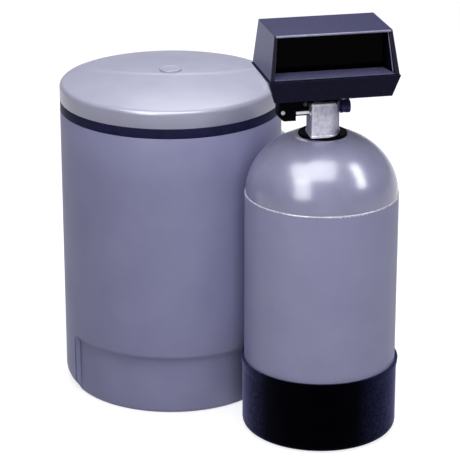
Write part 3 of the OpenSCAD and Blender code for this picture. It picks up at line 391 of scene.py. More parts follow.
dress(runs, result, drops.outputs["Instances"], bead_seal)
bead_runs = grown("bead_runs", runs, {"Ring radius": 0.1522, "Height": 0.4945, "Drop size": 0.0011})
bead_runs.data.shade_smooth()
trim_of(bead_runs, bead_seal)

# Boot
# Black polyethylene cup, blow moulded, pressed on to the vessel's foot so that it stands upright.
# Its lip flares a little, and its bottom edge is round.


def tinted(finish, share, colour, blend="MIX"):
    """Blends a colour into the finish's own by a share from 0 to 1."""
    base = shader_of(finish).inputs["Base Color"]
    mixed = add_node(finish.node_tree, "ShaderNodeMix", {
        0: share, 6: base.links[0].from_socket, 7: linear(colour),
    }, data_type="RGBA", blend_type=blend)
    finish.node_tree.links.new(mixed.outputs[2], base)


# Blow-moulded black polyethylene: a deep matt black with a faint bloom where the wall turns away. Both
# sides carry navy specks, drawn at 6 mm: a painted reflection, mottled, at the boot's left and right.
boot_plastic = new_finish("black polyethylene", {
    "Roughness": 0.4, "Specular IOR Level": 0.0,
    "Sheen Weight": 0.8, "Sheen Roughness": 0.34, "Sheen Tint": linear("#acace0"),
})
clouded(boot_plastic, "#000001", "#020204", 30)
grained(boot_plastic, 2.2, 0.06)
speck_mm = 6
tree = boot_plastic.node_tree
specks = add_node(tree, "ShaderNodeTexNoise", {
    "Vector": place_of(boot_plastic), "Scale": 1 / (speck_mm * mm), "Detail": 6.0, "Roughness": 0.7,
})
sheen_specks = add_node(tree, "ShaderNodeMapRange", {
    "Value": specks.outputs["Fac"], "From Min": 0.36, "From Max": 0.62,
})
across = add_node(tree, "ShaderNodeSeparateXYZ", {"Vector": place_of(boot_plastic)})
# Painted reflection: these masks pick out the boot's left and right sides for the navy specks.
right_painted_sheen = add_node(tree, "ShaderNodeMapRange", {
    "Value": across.outputs["X"], "From Min": 0.040, "From Max": 0.115,
})
left_painted_sheen = add_node(tree, "ShaderNodeMapRange", {
    "Value": across.outputs["X"], "From Min": -0.130, "From Max": -0.155,
})
painted_sheen_sides = add_node(tree, "ShaderNodeMath", {
    0: right_painted_sheen.outputs["Result"], 1: left_painted_sheen.outputs["Result"],
}, operation="ADD")
share = add_node(tree, "ShaderNodeMath", {
    0: painted_sheen_sides.outputs["Value"], 1: sheen_specks.outputs["Result"],
}, operation="MULTIPLY")
tinted(boot_plastic, share.outputs["Value"], "#343460")
boot = bmesh.new()
turn(boot, rounded([
    (0, 0, 0), (155.85, 0, 14), (155.85, 126, 40), (158.45, 146, 2), (158.45, 149, 1.2),
    (152.65, 149, 1), (152.65, 5, 14), (100, 5, 1), (100, 33.6, 0), (90, 27.6, 0), (90, 5, 1), (0, 5, 0),
], steps=6), at_vessel, fine_steps)
stands_for(finished("boot_cup", boot), boot_plastic, "tank_boot")

# Neck collar
# Threaded ring of black glass-filled plastic, injection moulded and bonded into the vessel's top.
# The valve screws into it, and its rim covers the edge of the opening.

# Glass-filled moulding: dull dry black, with the fibres' fine roughness drawn at 1.2 mm, coarser than
# the real one.
block_plastic = new_finish("black glass-filled plastic", {"Roughness": 0.45, "Specular IOR Level": 0.02})
clouded(block_plastic, "#010103", "#040408", 12)
grained(block_plastic, 1.2, 0.06)
collar = bmesh.new()
turn(collar, rounded([
    (31.75, 575, 0), (39.75, 575, 0), (39.75, land_z, 0), (48, land_z, 0.4), (48, 622, 1.2),
    (44.5, 622, 0.4), (43.5, 621, 0.5), (31.75, 621, 0),
]), at_vessel, 128)
stands_for(finished("neck_ring", collar), block_plastic, "neck_insert")

# Valve body
# Cast body, plated to a satin silver, screwed into the neck. The two pipe ports are at its back,
# and a short boss on its left joins the injector block.

# Plated casting: bright and blotchy, because the cast skin shows through in 4 mm hollows. Its right,
# drain side is painted a darker blue-grey: painted shade, darker towards the right.
plating = new_finish("satin nickel plating on a casting", {"Roughness": 0.36, "Metallic": 0.35})
clouded(plating, "#bcbcd2", "#eaeaf2", 9)
grained(plating, 4, 0.5)
across = add_node(plating.node_tree, "ShaderNodeSeparateXYZ", {"Vector": place_of(plating)})
# Painted shade: the plating darkens from 2 mm to 26 mm right of the middle.
painted_right_shade = add_node(plating.node_tree, "ShaderNodeMapRange", {
    "Value": across.outputs["X"], "From Min": 0.002, "From Max": 0.026,
})
tinted(plating, painted_right_shade.outputs["Result"], "#7c7c9a", "MULTIPLY")


def facing(x, y, z, turn_x=0.0, turn_y=0.0):
    """Place in millimetres of a piece whose own axis is turned away from upright, in degrees."""
    turned = Matrix.Rotation(math.radians(turn_y), 4, "Y") @ Matrix.Rotation(math.radians(turn_x), 4, "X")
    return Matrix.Translation((x, y, z)) @ turned


def thread(shape, r, pitch, low, high, place):
    """Adds an outside thread to a bmesh: a sleeve, sunk into the pipe, whose radius follows a helix."""
    depth = 1.0
    steps = 48
    sunk = r - depth - 0.6
    rows = round((high - low) / pitch * 8)
    angles = [math.tau * i / steps for i in range(steps)]
    reaches = []
    for z in [low + (high - low) * k / rows for k in range(rows + 1)]:
        ends = min(1, (z - low) / pitch, (high - z) / pitch)
        waves = [0.5 - 0.5 * math.cos(math.tau * z / pitch - a) for a in angles]
        reaches.append((z, [r - depth * (1 - wave * ends) for wave in waves]))
    reaches += [(z, [sunk] * steps) for z in (high, low)]
    rings = [
        [shape.verts.new(place @ Vector((reach * math.cos(a), reach * math.sin(a), z)) * mm)
         for a, reach in zip(angles, ring)]
        for z, ring in reaches
    ]
    skin(shape, rings + rings[:1])


def upright(shape, outline, levels):
    """Adds an upright solid: an [x, y] outline at each (height, inset) level, in millimetres."""
    centre = sum((Vector(p) for p in outline), Vector((0, 0))) / len(outline)
    rings = []
    for z, inset in levels:
        arms = [Vector(point) - centre for point in outline]
        rings.append([
            shape.verts.new(Vector((*(centre + arm * (1 - inset / arm.length)), z)) * mm) for arm in arms
        ])
    shape.faces.new(rings[0])
    shape.faces.new(list(reversed(rings[-1])))
    skin(shape, rings)


body_top = 686
body = bmesh.new()
turn(body, rounded([
    (26, 590, 0), (31.5, 590, 0), (31.5, 621.5, 0), (34, 621.5, 0.6), (34, 626, 1.4), (32.2, 629, 2),
    (32, body_top, 1.6), (28, body_top, 0), (28, 704, 0), (22, 704, 0), (22, 646, 0), (13.6, 646, 0),
    (13.6, 636, 0), (26, 636, 0),
]), at_vessel, 128)
for side in (-17, 17):
    port = facing(side, 0, 662, turn_x=-90)
    turn(body, rounded([
        (9.5, 20, 0), (15.2, 20, 0), (15.2, 50, 1.2), (12.2, 50, 0), (12.2, 74, 0.6), (9.5, 74, 0.6),
    ]), port, 64)
    thread(body, 13.2, 1.8, 51, 73.6, port)
turn(body, rounded([(6, 24, 0), (10, 24, 0), (10, 40, 0.8), (6, 40, 0)]), facing(0, 0, 676, turn_y=-90), 64)
front_outline = rounded([(-33.6, -44, 4), (24.4, -44, 27), (24.4, -8, 2), (-33.6, -8, 4)], steps=10)
upright(body, front_outline, [(622.4, 1.0), (626, 0), (684.6, 0), (685.6, 0.5), (body_top, 1.6)])
upright(body, front_outline, [(622.2, -0.6), (622.8, -1.6), (625, -1.8), (626.4, -1.2), (627.4, 0.2)])
brow_r = 33.6
brow = [(brow_r * math.cos(a), brow_r * math.sin(a)) for a in [math.radians(d) for d in range(223, 300, 5)]]
brow += [(14, -43), (8, -44), (-29, -44), (-33.4, -40)]
upright(body, brow, [(685.8, 0), (690, 0), (690.8, 0.3), (691, 1.0)])
stands_for(finished("plated_body", body), plating, "valve_body")

# Drive cap
# Cap of black glass-filled plastic screwed over the body's neck; it guides the piston's rod.
# Grip ribs run round it for the spanner.
cap = bmesh.new()
turn(cap, rounded([
    (28.3, body_top, 0), (31.6, body_top, 0.5), (31.6, 711, 0), (33, 711, 0), (33, 712, 0), (12, 712, 0),
    (12, 722, 0.6), (6.4, 722, 0.4), (6.4, 700, 0), (21.75, 700, 0), (21.75, 704, 0), (28.3, 704, 0),
]), at_vessel, 96)
stands_for(finished("drive_cap_ribbed", cap), block_plastic, "drive_cap")

ribs, given, result = geometry_tree("grip ribs", [
    "Rib count", "Ring radius", "Rib radius", "Rib length", "Middle height",
])
ring = add_node(ribs, "GeometryNodeMeshCircle", {
    "Vertices": given.outputs["Rib count"], "Radius": given.outputs["Ring radius"],
})
rib = add_node(ribs, "GeometryNodeMeshCylinder", {
    "Vertices": 10, "Radius": given.outputs["Rib radius"], "Depth": given.outputs["Rib length"],
})
set_round = add_node(ribs, "GeometryNodeInstanceOnPoints", {
    "Points": ring.outputs["Mesh"], "Instance": rib.outputs["Mesh"],
})
up = add_node(ribs, "ShaderNodeCombineXYZ", {"Z": given.outputs["Middle height"]})
raised = add_node(ribs, "GeometryNodeTransform", {
    "Geometry": set_round.outputs["Instances"], "Translation": up.outputs["Vector"],
})
dress(ribs, result, raised.outputs["Geometry"], block_plastic)
cap_ribs = grown("drive_cap_ribs", ribs, {
    "Rib count": 36.0, "Ring radius": 0.0316, "Rib radius": 0.0014, "Rib length": 0.0244,
    "Middle height": 0.6988,
})
trim_of(cap_ribs, block_plastic)

# Cover tray
# Injection-moulded dark ABS tray bolted under the drive; its sides draw in to the floor, and a sill
# slopes up from its front edge to the foot of the panel.

# Spark-textured ABS: nearly black with a blue cast and little gloss. The grain of all the ABS pieces is
# drawn at 4 mm, about ten times the real one, so that it shows.
abs_grain = 4
tray_abs = new_finish("dark textured ABS", {"Roughness": 0.42, "Specular IOR Level": 0.06})
clouded(tray_abs, "#0b0b20", "#14142d", 7)
grained(tray_abs, abs_grain, 0.3)
# The sill faces up and is painted pale as painted light: the palest of the textured faces.
lit_sill_abs = new_finish("pale grey textured ABS", {"Roughness": 0.36})
clouded(lit_sill_abs, "#484868", "#5c5c80", 7)
grained(lit_sill_abs, abs_grain, 0.3)


def bevelled(piece, width_mm, segments=3):
    """Rounds a piece's edges as a mould does."""
    edge = piece.modifiers.new("mould radius", "BEVEL")
    edge.width = width_mm * mm
    edge.segments = segments
    edge.limit_method = "ANGLE"
    edge.angle_limit = math.radians(32)
    edge.harden_normals = True
    return piece


def walled(piece, wall_mm):
    """Gives a shell of single faces its wall, inwards."""
    wall = piece.modifiers.new("wall", "SOLIDIFY")
    wall.thickness = wall_mm * mm
    wall.offset = -1
    wall.use_even_offset = True
    return piece


def panel_faces(shape, corners, faces):
    """Adds flat faces between numbered corners in millimetres."""
    verts = [shape.verts.new(Vector(c) * mm) for c in corners]
    for face in faces:
        shape.faces.new([verts[k] for k in face])


tray_z = 712
part_z = 754.5
tray = bmesh.new()
panel_faces(tray, [
    (-114.4, -76.4, tray_z), (114.4, -76.4, tray_z), (96, 54.7, tray_z), (-96, 54.7, tray_z),
    (-127, -89, part_z), (127, -89, part_z), (127, 61, part_z), (-127, 61, part_z),
], [(3, 2, 1, 0), (0, 1, 5, 4), (1, 2, 5), (2, 6, 5), (2, 3, 7, 6), (3, 0, 4), (3, 4, 7)])
stands_for(bevelled(walled(finished("tray_shell", tray, 15), 3), 1.6), tray_abs, "cover_tray")
sill_z = part_z - 0.6
sill = bmesh.new()
panel_faces(sill, [
    (-118.2, -85.6, sill_z), (118.2, -85.6, sill_z), (108, -41.25, 756), (-108, -41.25, 756),
], [(0, 1, 2, 3)])
trim_of(bevelled(walled(finished("tray_sill", sill), 2), 0.6), lit_sill_abs)

# Control panel
# Bare plate, cut from smoked black acrylic sheet, at the back of the recess.
# It is clipped to the tray and hides the drive.

# Smoked acrylic in the recess's shade gives the eye nothing but black.
panel_acrylic = new_finish("smoked black acrylic", {"Roughness": 0.12, "Specular IOR Level": 0.02})
clouded(panel_acrylic, "#000001", "#010102", 80)
panel_y = -41
panel = bmesh.new()
panel_faces(panel, [
    (-109.4, panel_y, 715), (109.4, panel_y, 715), (120.1, panel_y, 751.5), (120.1, panel_y, 759.5),
    (110.7, panel_y, 834.5), (-110.7, panel_y, 834.5), (-120.1, panel_y, 759.5), (-120.1, panel_y, 751.5),
], [(0, 1, 2, 3, 4, 5, 6, 7)])
stands_for(bevelled(walled(finished("panel_plate", panel), 3), 0.5), panel_acrylic, "control_panel")

# Circuit board
# Glass-epoxy board screwed to bosses behind the panel, with a chip, a relay and rows of small parts
# soldered to its rear face.

# Green solder mask over copper: glossy and a little uneven. What stands behind the board's rear face is
# black moulded epoxy.
board_rear = -33.4
solder_mask = new_finish("green solder mask and epoxy", {"Roughness": 0.3})
clouded(solder_mask, "#12432a", "#1a5434", 6)
grained(solder_mask, 0.8, 0.05)
depth = add_node(solder_mask.node_tree, "ShaderNodeSeparateXYZ", {"Vector": place_of(solder_mask)})
proud = add_node(solder_mask.node_tree, "ShaderNodeMath", {
    0: depth.outputs["Y"], 1: (board_rear + 0.3) * mm,
}, operation="GREATER_THAN")
tinted(solder_mask, proud.outputs["Value"], "#1c1c20")
coat(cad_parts["circuit_board"], solder_mask)

small, given, result = geometry_tree("parts on the board", ["Field width", "Field height", "Part size"])
field = add_node(small, "GeometryNodeMeshGrid", {
    "Size X": given.outputs["Field width"], "Size Y": given.outputs["Field height"],
    "Vertices X": 10, "Vertices Y": 3,
})
block = add_node(small, "GeometryNodeMeshCube", {"Size": given.outputs["Part size"]})
mixed_sizes = add_node(small, "FunctionNodeRandomValue", {
    0: (0.6, 0.4, 0.6), 1: (1.7, 1.1, 1.4), "Seed": 11,
}, data_type="FLOAT_VECTOR")
rows = add_node(small, "GeometryNodeInstanceOnPoints", {
    "Points": field.outputs["Mesh"], "Instance": block.outputs["Mesh"],
    "Scale": mixed_sizes.outputs["Value"],
})
stood = add_node(small, "GeometryNodeTransform", {
    "Geometry": rows.outputs["Instances"], "Rotation": (math.radians(90), 0, 0),
    "Translation": (0, (board_rear + 1) * mm, 0.810),
})
dress(small, result, stood.outputs["Geometry"], solder_mask)
board_parts = grown("board_parts", small, {
    "Field width": 0.116, "Field height": 0.022, "Part size": 0.0045,
})
trim_of(board_parts, solder_mask)

# Cover hood
# Injection-moulded grey-black ABS hood that lifts off. Its front leans back and frames the recess with
# a top lip, and a cheek with a rounded bead closes the recess on each side. Lip and beads are painted
# pale: a painted highlight.

# The hood's ABS is painted greyer than the tray's, as painted light on its top, sides and back; its sheen
# gives a blue haze where it is seen at a low angle.
lit_hood_abs = new_finish("grey textured ABS", {
    "Roughness": 0.3, "Specular IOR Level": 0.4, "Specular Tint": linear("#9898ff"),
    "Sheen Weight": 0.12, "Sheen Roughness": 0.4, "Sheen Tint": linear("#8080ff"),
})
clouded(lit_hood_abs, "#1c1c38", "#303050", 7)
grained(lit_hood_abs, abs_grain, 0.3)
# The frame round the recess was left smooth in the mould; it keeps the tray's dark colour and takes edge
# highlights.
frame_abs = new_finish("smooth dark ABS", {"Roughness": 0.3, "Specular IOR Level": 0.4})
clouded(frame_abs, "#0b0b20", "#14142d", 7)
grained(frame_abs, abs_grain, 0.1)
# The lip and the beads are painted pale: a painted highlight along the edges of the recess.
painted_highlight_abs = new_finish("ABS edge painted pale", {"Roughness": 0.3})
clouded(painted_highlight_abs, "#7a7a96", "#9090aa", 9)
grained(painted_highlight_abs, abs_grain, 0.1)


def between(start, end):
    """Place of a piece whose own axis runs from one point to another, in millimetres."""
    axis = Vector(end) - Vector(start)
    return Matrix.Translation(start) @ axis.to_track_quat("Z", "Y").to_matrix().to_4x4()


hood_low = 754.9
hood_top = 839
textured_faces = [(4, 5, 6, 7), (2, 3, 7, 6), (3, 0, 4, 7), (1, 2, 6, 5)]
frame_faces = [(0, 8, 11, 4), (9, 1, 5, 10), (11, 10, 5, 4)]
hood = bmesh.new()
panel_faces(hood, [
    (-127, -89, hood_low), (127, -89, hood_low), (127, 61, hood_low), (-127, 61, hood_low),
    (-115.7, -71, hood_top), (115.7, -71, hood_top), (115.7, 61, hood_top), (-115.7, 61, hood_top),
    (-118.6, -89, hood_low), (118.6, -89, hood_low), (110.6, -71.9, 835), (-110.6, -71.9, 835),
], textured_faces + frame_faces)
hood_piece = bevelled(walled(finished("hood_shell", hood), 3), 1.8)
stands_for(hood_piece, lit_hood_abs, "cover_hood", "hood")
hood_piece.data.materials.append(frame_abs)
for face in hood_piece.data.polygons[len(textured_faces):]:
    face.material_index = 1

lip = bmesh.new()
turn(lip, rounded([(0, -113, 0), (2.2, -113, 1.2), (2.2, 113, 1.2), (0, 113, 0)]),
     facing(0, -71.9, 836.6, turn_y=90), 24)
trim_of(finished("hood_lip", lip), painted_highlight_abs, "hood")
cheeks = bmesh.new()
for side in (-1, 1):
    panel_faces(cheeks, [
        (side * 118.8, -86, 756), (side * 110.8, -70.4, 834),
        (side * 106, -42, 834), (side * 109, -42, 761),
    ], [(0, 1, 2, 3)])
trim_of(walled(finished("hood_cheeks", cheeks), 1.5), tray_abs, "hood")
beads = bmesh.new()
for side in (-1, 1):
    turn(beads, rounded([(0, 0, 0), (1.3, 0, 0.8), (1.3, 78, 0.8), (0, 78, 0)]),
         between((side * 117, -78, 757), (side * 109.5, -62.6, 834)), 16)
trim_of(finished("hood_beads", beads), painted_highlight_abs, "hood")

# Injector block
# Block of black glass-filled plastic on the body's left that draws the brine.
# A flat cap of the same plastic is screwed over its nozzle.


def cut_plate(name, outline, y_front, y_back):
    """Upright plate from an [x, z] outline in millimetres, between two depths."""
    shape = bmesh.new()
    front = [shape.verts.new(Vector((x, y_front, z)) * mm) for x, z in outline]
    back = [shape.verts.new(Vector((x, y_back, z)) * mm) for x, z in outline]
    shape.faces.new(front)
    shape.faces.new(list(reversed(back)))
    for k in range(len(outline)):
        j = (k + 1) % len(outline)
        shape.faces.new((front[k], back[k], back[j], front[j]))
    return finished(name, shape)


block_front = -20
block = cut_plate("injector_body", [
    (-34, 699), (-94, 699), (-94, 663), (-84, 653), (-59, 653), (-59, 663), (-34, 663),
], block_front, 8)
stands_for(bevelled(block, 1.4), block_plastic, "injector_block")
cover = cut_plate("injector_cover", rounded([
    (-35.5, 697.5, 7), (-92.5, 697.5, 3), (-92.5, 663, 3), (-84, 654.5, 3), (-60.5, 654.5, 1),
    (-60.5, 664.5, 1), (-35.5, 664.5, 2),
]), -26, block_front)
stands_for(bevelled(cover, 1.0), block_plastic, "injector_cap")

# Injector screws
# Cold-headed steel hex screws, zinc plated, each with a washer under its head.
# They go through the cap into the block and hold the two together.

# Dulled zinc: light grey metal with a soft sparkle.
zinc = new_finish("dulled zinc plating", {"Roughness": 0.4, "Metallic": 1.0})
clouded(zinc, "#9a9aa8", "#b8b8c4", 4)
grained(zinc, 0.8, 0.03)
# The second screw sits in the tray's shadow, painted in as darker zinc: it hardly shows on the black cap.
shadowed_zinc = new_finish("zinc plating in painted shadow", {"Roughness": 0.5, "Metallic": 1.0})
clouded(shadowed_zinc, "#34343e", "#484854", 4)
grained(shadowed_zinc, 0.8, 0.03)

screw_places = [(-0.087, -0.028, 0.673), (-0.043, -0.028, 0.688)]
hex_screws, given, result = geometry_tree("injector screws", [
    "Head radius", "Head height", "Washer radius",
])
spots = add_node(hex_screws, "GeometryNodeJoinGeometry")
for screw_place in screw_places:
    dot = add_node(hex_screws, "GeometryNodePoints", {"Count": 1, "Position": screw_place})
    hex_screws.links.new(dot.outputs["Points"], spots.inputs["Geometry"])
head = add_node(hex_screws, "GeometryNodeMeshCylinder", {
    "Vertices": 6, "Radius": given.outputs["Head radius"], "Depth": given.outputs["Head height"],
})
washer = add_node(hex_screws, "GeometryNodeMeshCylinder", {
    "Vertices": 32, "Radius": given.outputs["Washer radius"], "Depth": 0.0016,
})
both = add_node(hex_screws, "GeometryNodeJoinGeometry")
hex_screws.links.new(head.outputs["Mesh"], both.inputs["Geometry"])
hex_screws.links.new(washer.outputs["Mesh"], both.inputs["Geometry"])
set_in = add_node(hex_screws, "GeometryNodeInstanceOnPoints", {
    "Points": spots.outputs["Geometry"], "Instance": both.outputs["Geometry"],
    "Rotation": (math.radians(90), 0, 0),
})
dress(hex_screws, result, set_in.outputs["Instances"], zinc)
screws = grown("injector_screw_heads", hex_screws, {
    "Head radius": 0.0034, "Head height": 0.004, "Washer radius": 0.0042,
})
stands_for(bevelled(screws, 0.4, 2), zinc, "injector_screws")
# The second screw takes the zinc darkened as painted shadow.
screws.data.materials.append(shadowed_zinc)
between_screws = -0.065
for face in screws.data.polygons:
    face.material_index = int(face.center.x > between_screws)

# Block clip
# Small angle, pressed from bright steel strip.
# Its foot lies on the side of the body's flat front, and its arm holds the cap down.

# Bright pressed steel: almost white beside the black block.
strap_steel = new_finish("pressed bright steel", {"Roughness": 0.34, "Metallic": 0.6})
clouded(strap_steel, "#dcdce6", "#f4f4f8", 6)
grained(strap_steel, 1.0, 0.03)
strap = bmesh.new()
upright(strap, [
    (-33.85, -26.25), (-61, -26.25), (-61, -28.45), (-36.05, -28.45), (-36.05, -40), (-33.85, -40),
], [(668, 0), (674, 0)])
stands_for(bevelled(finished("strap", strap), 0.4, 2), strap_steel, "block_clip")

# Drain fitting
# Moulded bushing of the hood's ABS, screwed into the body's right side; it has a grooved grip, and the
# drain line screws into it.
bushing = bmesh.new()
turn(bushing, rounded([
    (4, 26, 0), (9.2, 26, 0), (9.2, 34, 0), (13.5, 34, 0.8), (13.5, 38, 0.6), (12.9, 38.8, 0.4),
    (12.9, 45, 0.4), (13.5, 45.8, 0.6), (13.5, 53, 1.2), (8.3, 53, 0.8), (8.3, 38, 0), (4, 38, 0),
]), facing(0, 0, 671, turn_y=90), 72)
# The bushing takes the hood's ABS, painted lighter as painted light.
stands_for(finished("drain_bushing", bushing), lit_hood_abs, "drain_fitting")

# Brine tank
# Rotationally moulded polyethylene drum. Its foot is drawn in along two wide panels, front and back,
# with plain lobes between them; the neck above the shoulder takes the band and the lid.

# Rotomoulded polyethylene: a soft satin with a fine orange peel of about 2.4 mm and cloudy pigment; the
# lines beside the panels are darkened with painted shade.
drum_pe = new_finish("rotomoulded polyethylene", {"Roughness": 0.46, "Specular IOR Level": 0.18})
clouded(drum_pe, "#9292b6", "#9a9abd", 90)
grained(drum_pe, 2.4, 0.10, 0.5)
# Painted shade in the lines beside the panels, carried by the drum's groove attribute.
groove_shade_tint = add_node(drum_pe.node_tree, "ShaderNodeAttribute", attribute_name="seam")
tinted(drum_pe, groove_shade_tint.outputs["Fac"], "#9090a8", "MULTIPLY")

brine_x = -241.986
brine_y = 309.728
brine_turn = math.radians(-12.5)
half_panel = 62
panel_edges = [side + half for side in (-90, 90) for half in (-half_panel, half_panel)]


def smooth(low, high, value):
    """Eased step from 0 at low to 1 at high."""
    t = min(1, max(0, (value - low) / (high - low)))
    return t * t * (3 - 2 * t)


def off_from(angle, mark):
    """Degrees between an angle and a mark, the short way round."""
    return abs((angle - mark + 180) % 360 - 180)


def foot_share(angle):
    """1 on a drawn-in panel and 0 on a lobe, for an angle round the drum in degrees."""
    off = min(off_from(angle, -90), off_from(angle, 90))
    return 1 - smooth(half_panel - 0.4, half_panel + 0.4, off)


def scored(angle, z):
    """Share of full depth of the line that the mould leaves on each side of a step."""
    off = min(off_from(angle, edge) for edge in panel_edges)
    return smooth(0.6, 0.3, abs(off - 0.85)) * smooth(126, 118, z) * smooth(14, 30, z)


drum_r = 228.6
panel_r = 218.6
drum_wall = 5
inner_r = drum_r - drum_wall
inner_panel_r = panel_r - drum_wall
lobe_round = 34
lobe_middle = drum_r - lobe_round
inner_round = lobe_round - drum_wall
panel_round = 10
line_depth = 2.4
lined_from_r = 216
quarter = [math.radians(15 * i) for i in range(7)]
lobe_rows = [(0, 0), (180, 0)]
lobe_rows += [(lobe_middle + lobe_round * math.sin(a), lobe_round - lobe_round * math.cos(a))
              for a in quarter]
lobe_rows += [(drum_r, z) for z in (60, 100, 114, 118, 121, 125, 128, 130, 134)]
panel_rows = [(0, 0), (190, 0)]
panel_rows += [(panel_r - panel_round + panel_round * math.sin(a), panel_round - panel_round * math.cos(a))
               for a in quarter]
panel_rows += [(panel_r, 60), (panel_r, 100), (panel_r, 114), (219, 117.6), (221.4, 121.6),
               (225, 125.4), (227.6, 127.8), (228.4, 130), (drum_r, 134)]
upper_rows = [(drum_r, z) for z in (200, 300, 400, 500, 596.4)]
upper_rows += [(228, 597.6), (226.6, 598), (218, 598), (218, 648.4), (216.8, 649.6), (214.2, 649.6),
               (213, 648.4), (213, 593), (inner_r, 580.4), (inner_r, 400), (inner_r, 135), (inner_r, 131)]
lobe_rows += upper_rows + [(inner_r, 121), (inner_r, 60)]
lobe_rows += [(lobe_middle + inner_round * math.cos(a), lobe_round - inner_round * math.sin(a))
              for a in quarter]
lobe_rows += [(180, drum_wall), (0, drum_wall)]
panel_rows += upper_rows + [(inner_panel_r, 121), (inner_panel_r, 60)]
panel_rows += [(inner_panel_r - panel_round + panel_round * math.cos(a),
                drum_wall + panel_round - panel_round * math.sin(a)) for a in quarter]
panel_rows += [(190, drum_wall), (0, drum_wall)]

turns = [2 * i for i in range(180)]
for edge in panel_edges:
    turns += [edge + side * d for side in (-1, 1) for d in (0.2, 0.4, 0.55, 0.85, 1.15, 1.45)]
turns = sorted(set(round(a % 360, 2) for a in turns))
drum = bmesh.new()
seam = drum.verts.layers.float.new("seam")
rings = []
for (lobe_r, lobe_z), (drawn_r, drawn_z) in zip(lobe_rows, panel_rows):
    ring = []
    for angle in turns if lobe_r > 0 else turns[:1]:
        share = foot_share(angle)
        r = lobe_r + (drawn_r - lobe_r) * share
        z = lobe_z + (drawn_z - lobe_z) * share
        line = scored(angle, z) if r > lined_from_r else 0
        r -= line_depth * line
        a = math.radians(angle) + brine_turn
        spot = drum.verts.new(Vector((brine_x + r * math.cos(a), brine_y + r * math.sin(a), z)) * mm)
        # The line's share of depth is kept on the vertex, to paint shade into the line.
        spot[seam] = line
        ring.append(spot)
    rings.append(ring)
skin(drum, rings)
stands_for(finished("drum", drum, 50), drum_pe, "brine_tank")

# Rim band
# Dark vinyl band, cut from sheet and wrapped round the drum's neck.
# It rests on the drum's shoulder, and the lid's edge holds it down.

# Dark vinyl: an even navy black with hardly any gloss.
band_vinyl = new_finish("dark vinyl band", {"Roughness": 0.4, "Specular IOR Level": 0.02})
clouded(band_vinyl, "#22223f", "#2a2a4c", 30)
grained(band_vinyl, 1.5, 0.04)
at_drum = Matrix.Translation((brine_x, brine_y, 0))
band = bmesh.new()
turn(band, rounded([
    (218.25, 598, 0), (228.4, 598, 0.8), (228.4, 618, 0.8), (218.25, 618, 0),
]), at_drum, fine_steps)
stands_for(finished("band", band), band_vinyl, "rim_band")

# Brine lid
# Injection-moulded polypropylene lid that drops over the neck. A wide panel at its front is sunk a little:
# its rear edge is a shallow curved step that fades towards the left, a straight step ends it on the right.

# Polypropylene from a polished mould: paler and glossier than the drum, with a bright line along the rim.
lid_pp = new_finish("satin polypropylene", {"Roughness": 0.27, "Specular IOR Level": 0.8})
clouded(lid_pp, "#a4a4ba", "#ababc0", 80)
grained(lid_pp, 1.8, 0.05, 0.5)

lid_round = 10
lid_wall = 5
lid_flat_r = drum_r - lid_round
lid_round_z = 645


def crown(r, z):
    """Height of the lid's crown at a radius, above the height of its edge."""
    return z + 17 * (1 - (r / lid_flat_r) ** 2)


def lid_top(x, y):
    """Height of the lid's upper face in millimetres; x and y count from its middle, y to the rear."""
    r = math.hypot(x, y)
    behind_step = 226 - math.hypot(x, y - 200)
    width = 3.4 + 25 * smooth(40, 170, -x)
    rear_step = smooth(-0.5 * width, 0.5 * width, behind_step)
    right_step = smooth(0, 6, (x - 172) * 0.99 + (y - 57) * 0.143)
    inside = 1 - smooth(202, 217, r)
    return crown(r, lid_round_z + lid_round) + 2.6 * max(rear_step, right_step) * inside


lid_steps = 288
top_rings = 144
lid_rows = [(lid_flat_r * k / top_rings, None) for k in range(top_rings + 1)]
lid_rows += [(lid_flat_r + lid_round * math.sin(a), lid_round_z + lid_round * math.cos(a))
             for a in quarter[1:]]
lid_rows += [(228.6, 619.4), (228.2, 618.4), (224, 618.4), (223.6, 619)]
lid_rows += [(lid_flat_r + lid_wall * math.cos(a), lid_round_z + lid_wall * math.sin(a)) for a in quarter]
lid_rows += [(r, crown(r, lid_round_z + lid_wall)) for r in (170, 110, 50, 0)]
lid = bmesh.new()
rings = []
for r, level_z in lid_rows:
    ring = []
    for i in range(lid_steps if r > 0 else 1):
        x = r * math.cos(math.tau * i / lid_steps)
        y = r * math.sin(math.tau * i / lid_steps)
        z = lid_top(x, y) if level_z is None else level_z
        ring.append(lid.verts.new(Vector((x, y, z)) * mm))
    rings.append(ring)
skin(lid, rings)
lid.transform(Matrix.Translation((brine_x * mm, brine_y * mm, 0)) @ Matrix.Rotation(brine_turn, 4, "Z"))
stands_for(finished("lid_shell", lid, 60), lid_pp, "brine_lid", "lid")

# Lid disc
# Round polypropylene plug, moulded with the lid's own plastic and pressed into the gate hole in its
# middle; it stands a little proud.
disc = bmesh.new()
turn(disc, rounded([
    (0, 667.4, 0), (8, 667.4, 0), (8, 674.8, 0), (23, 674.8, 0.5), (23, 678.4, 1.4), (20, 679, 0.8),
    (19, 678.2, 0.6), (0, 678.0, 0),
]), at_drum, 96)
stands_for(finished("lid_plug", disc), lid_pp, "lid_disc", "lid")

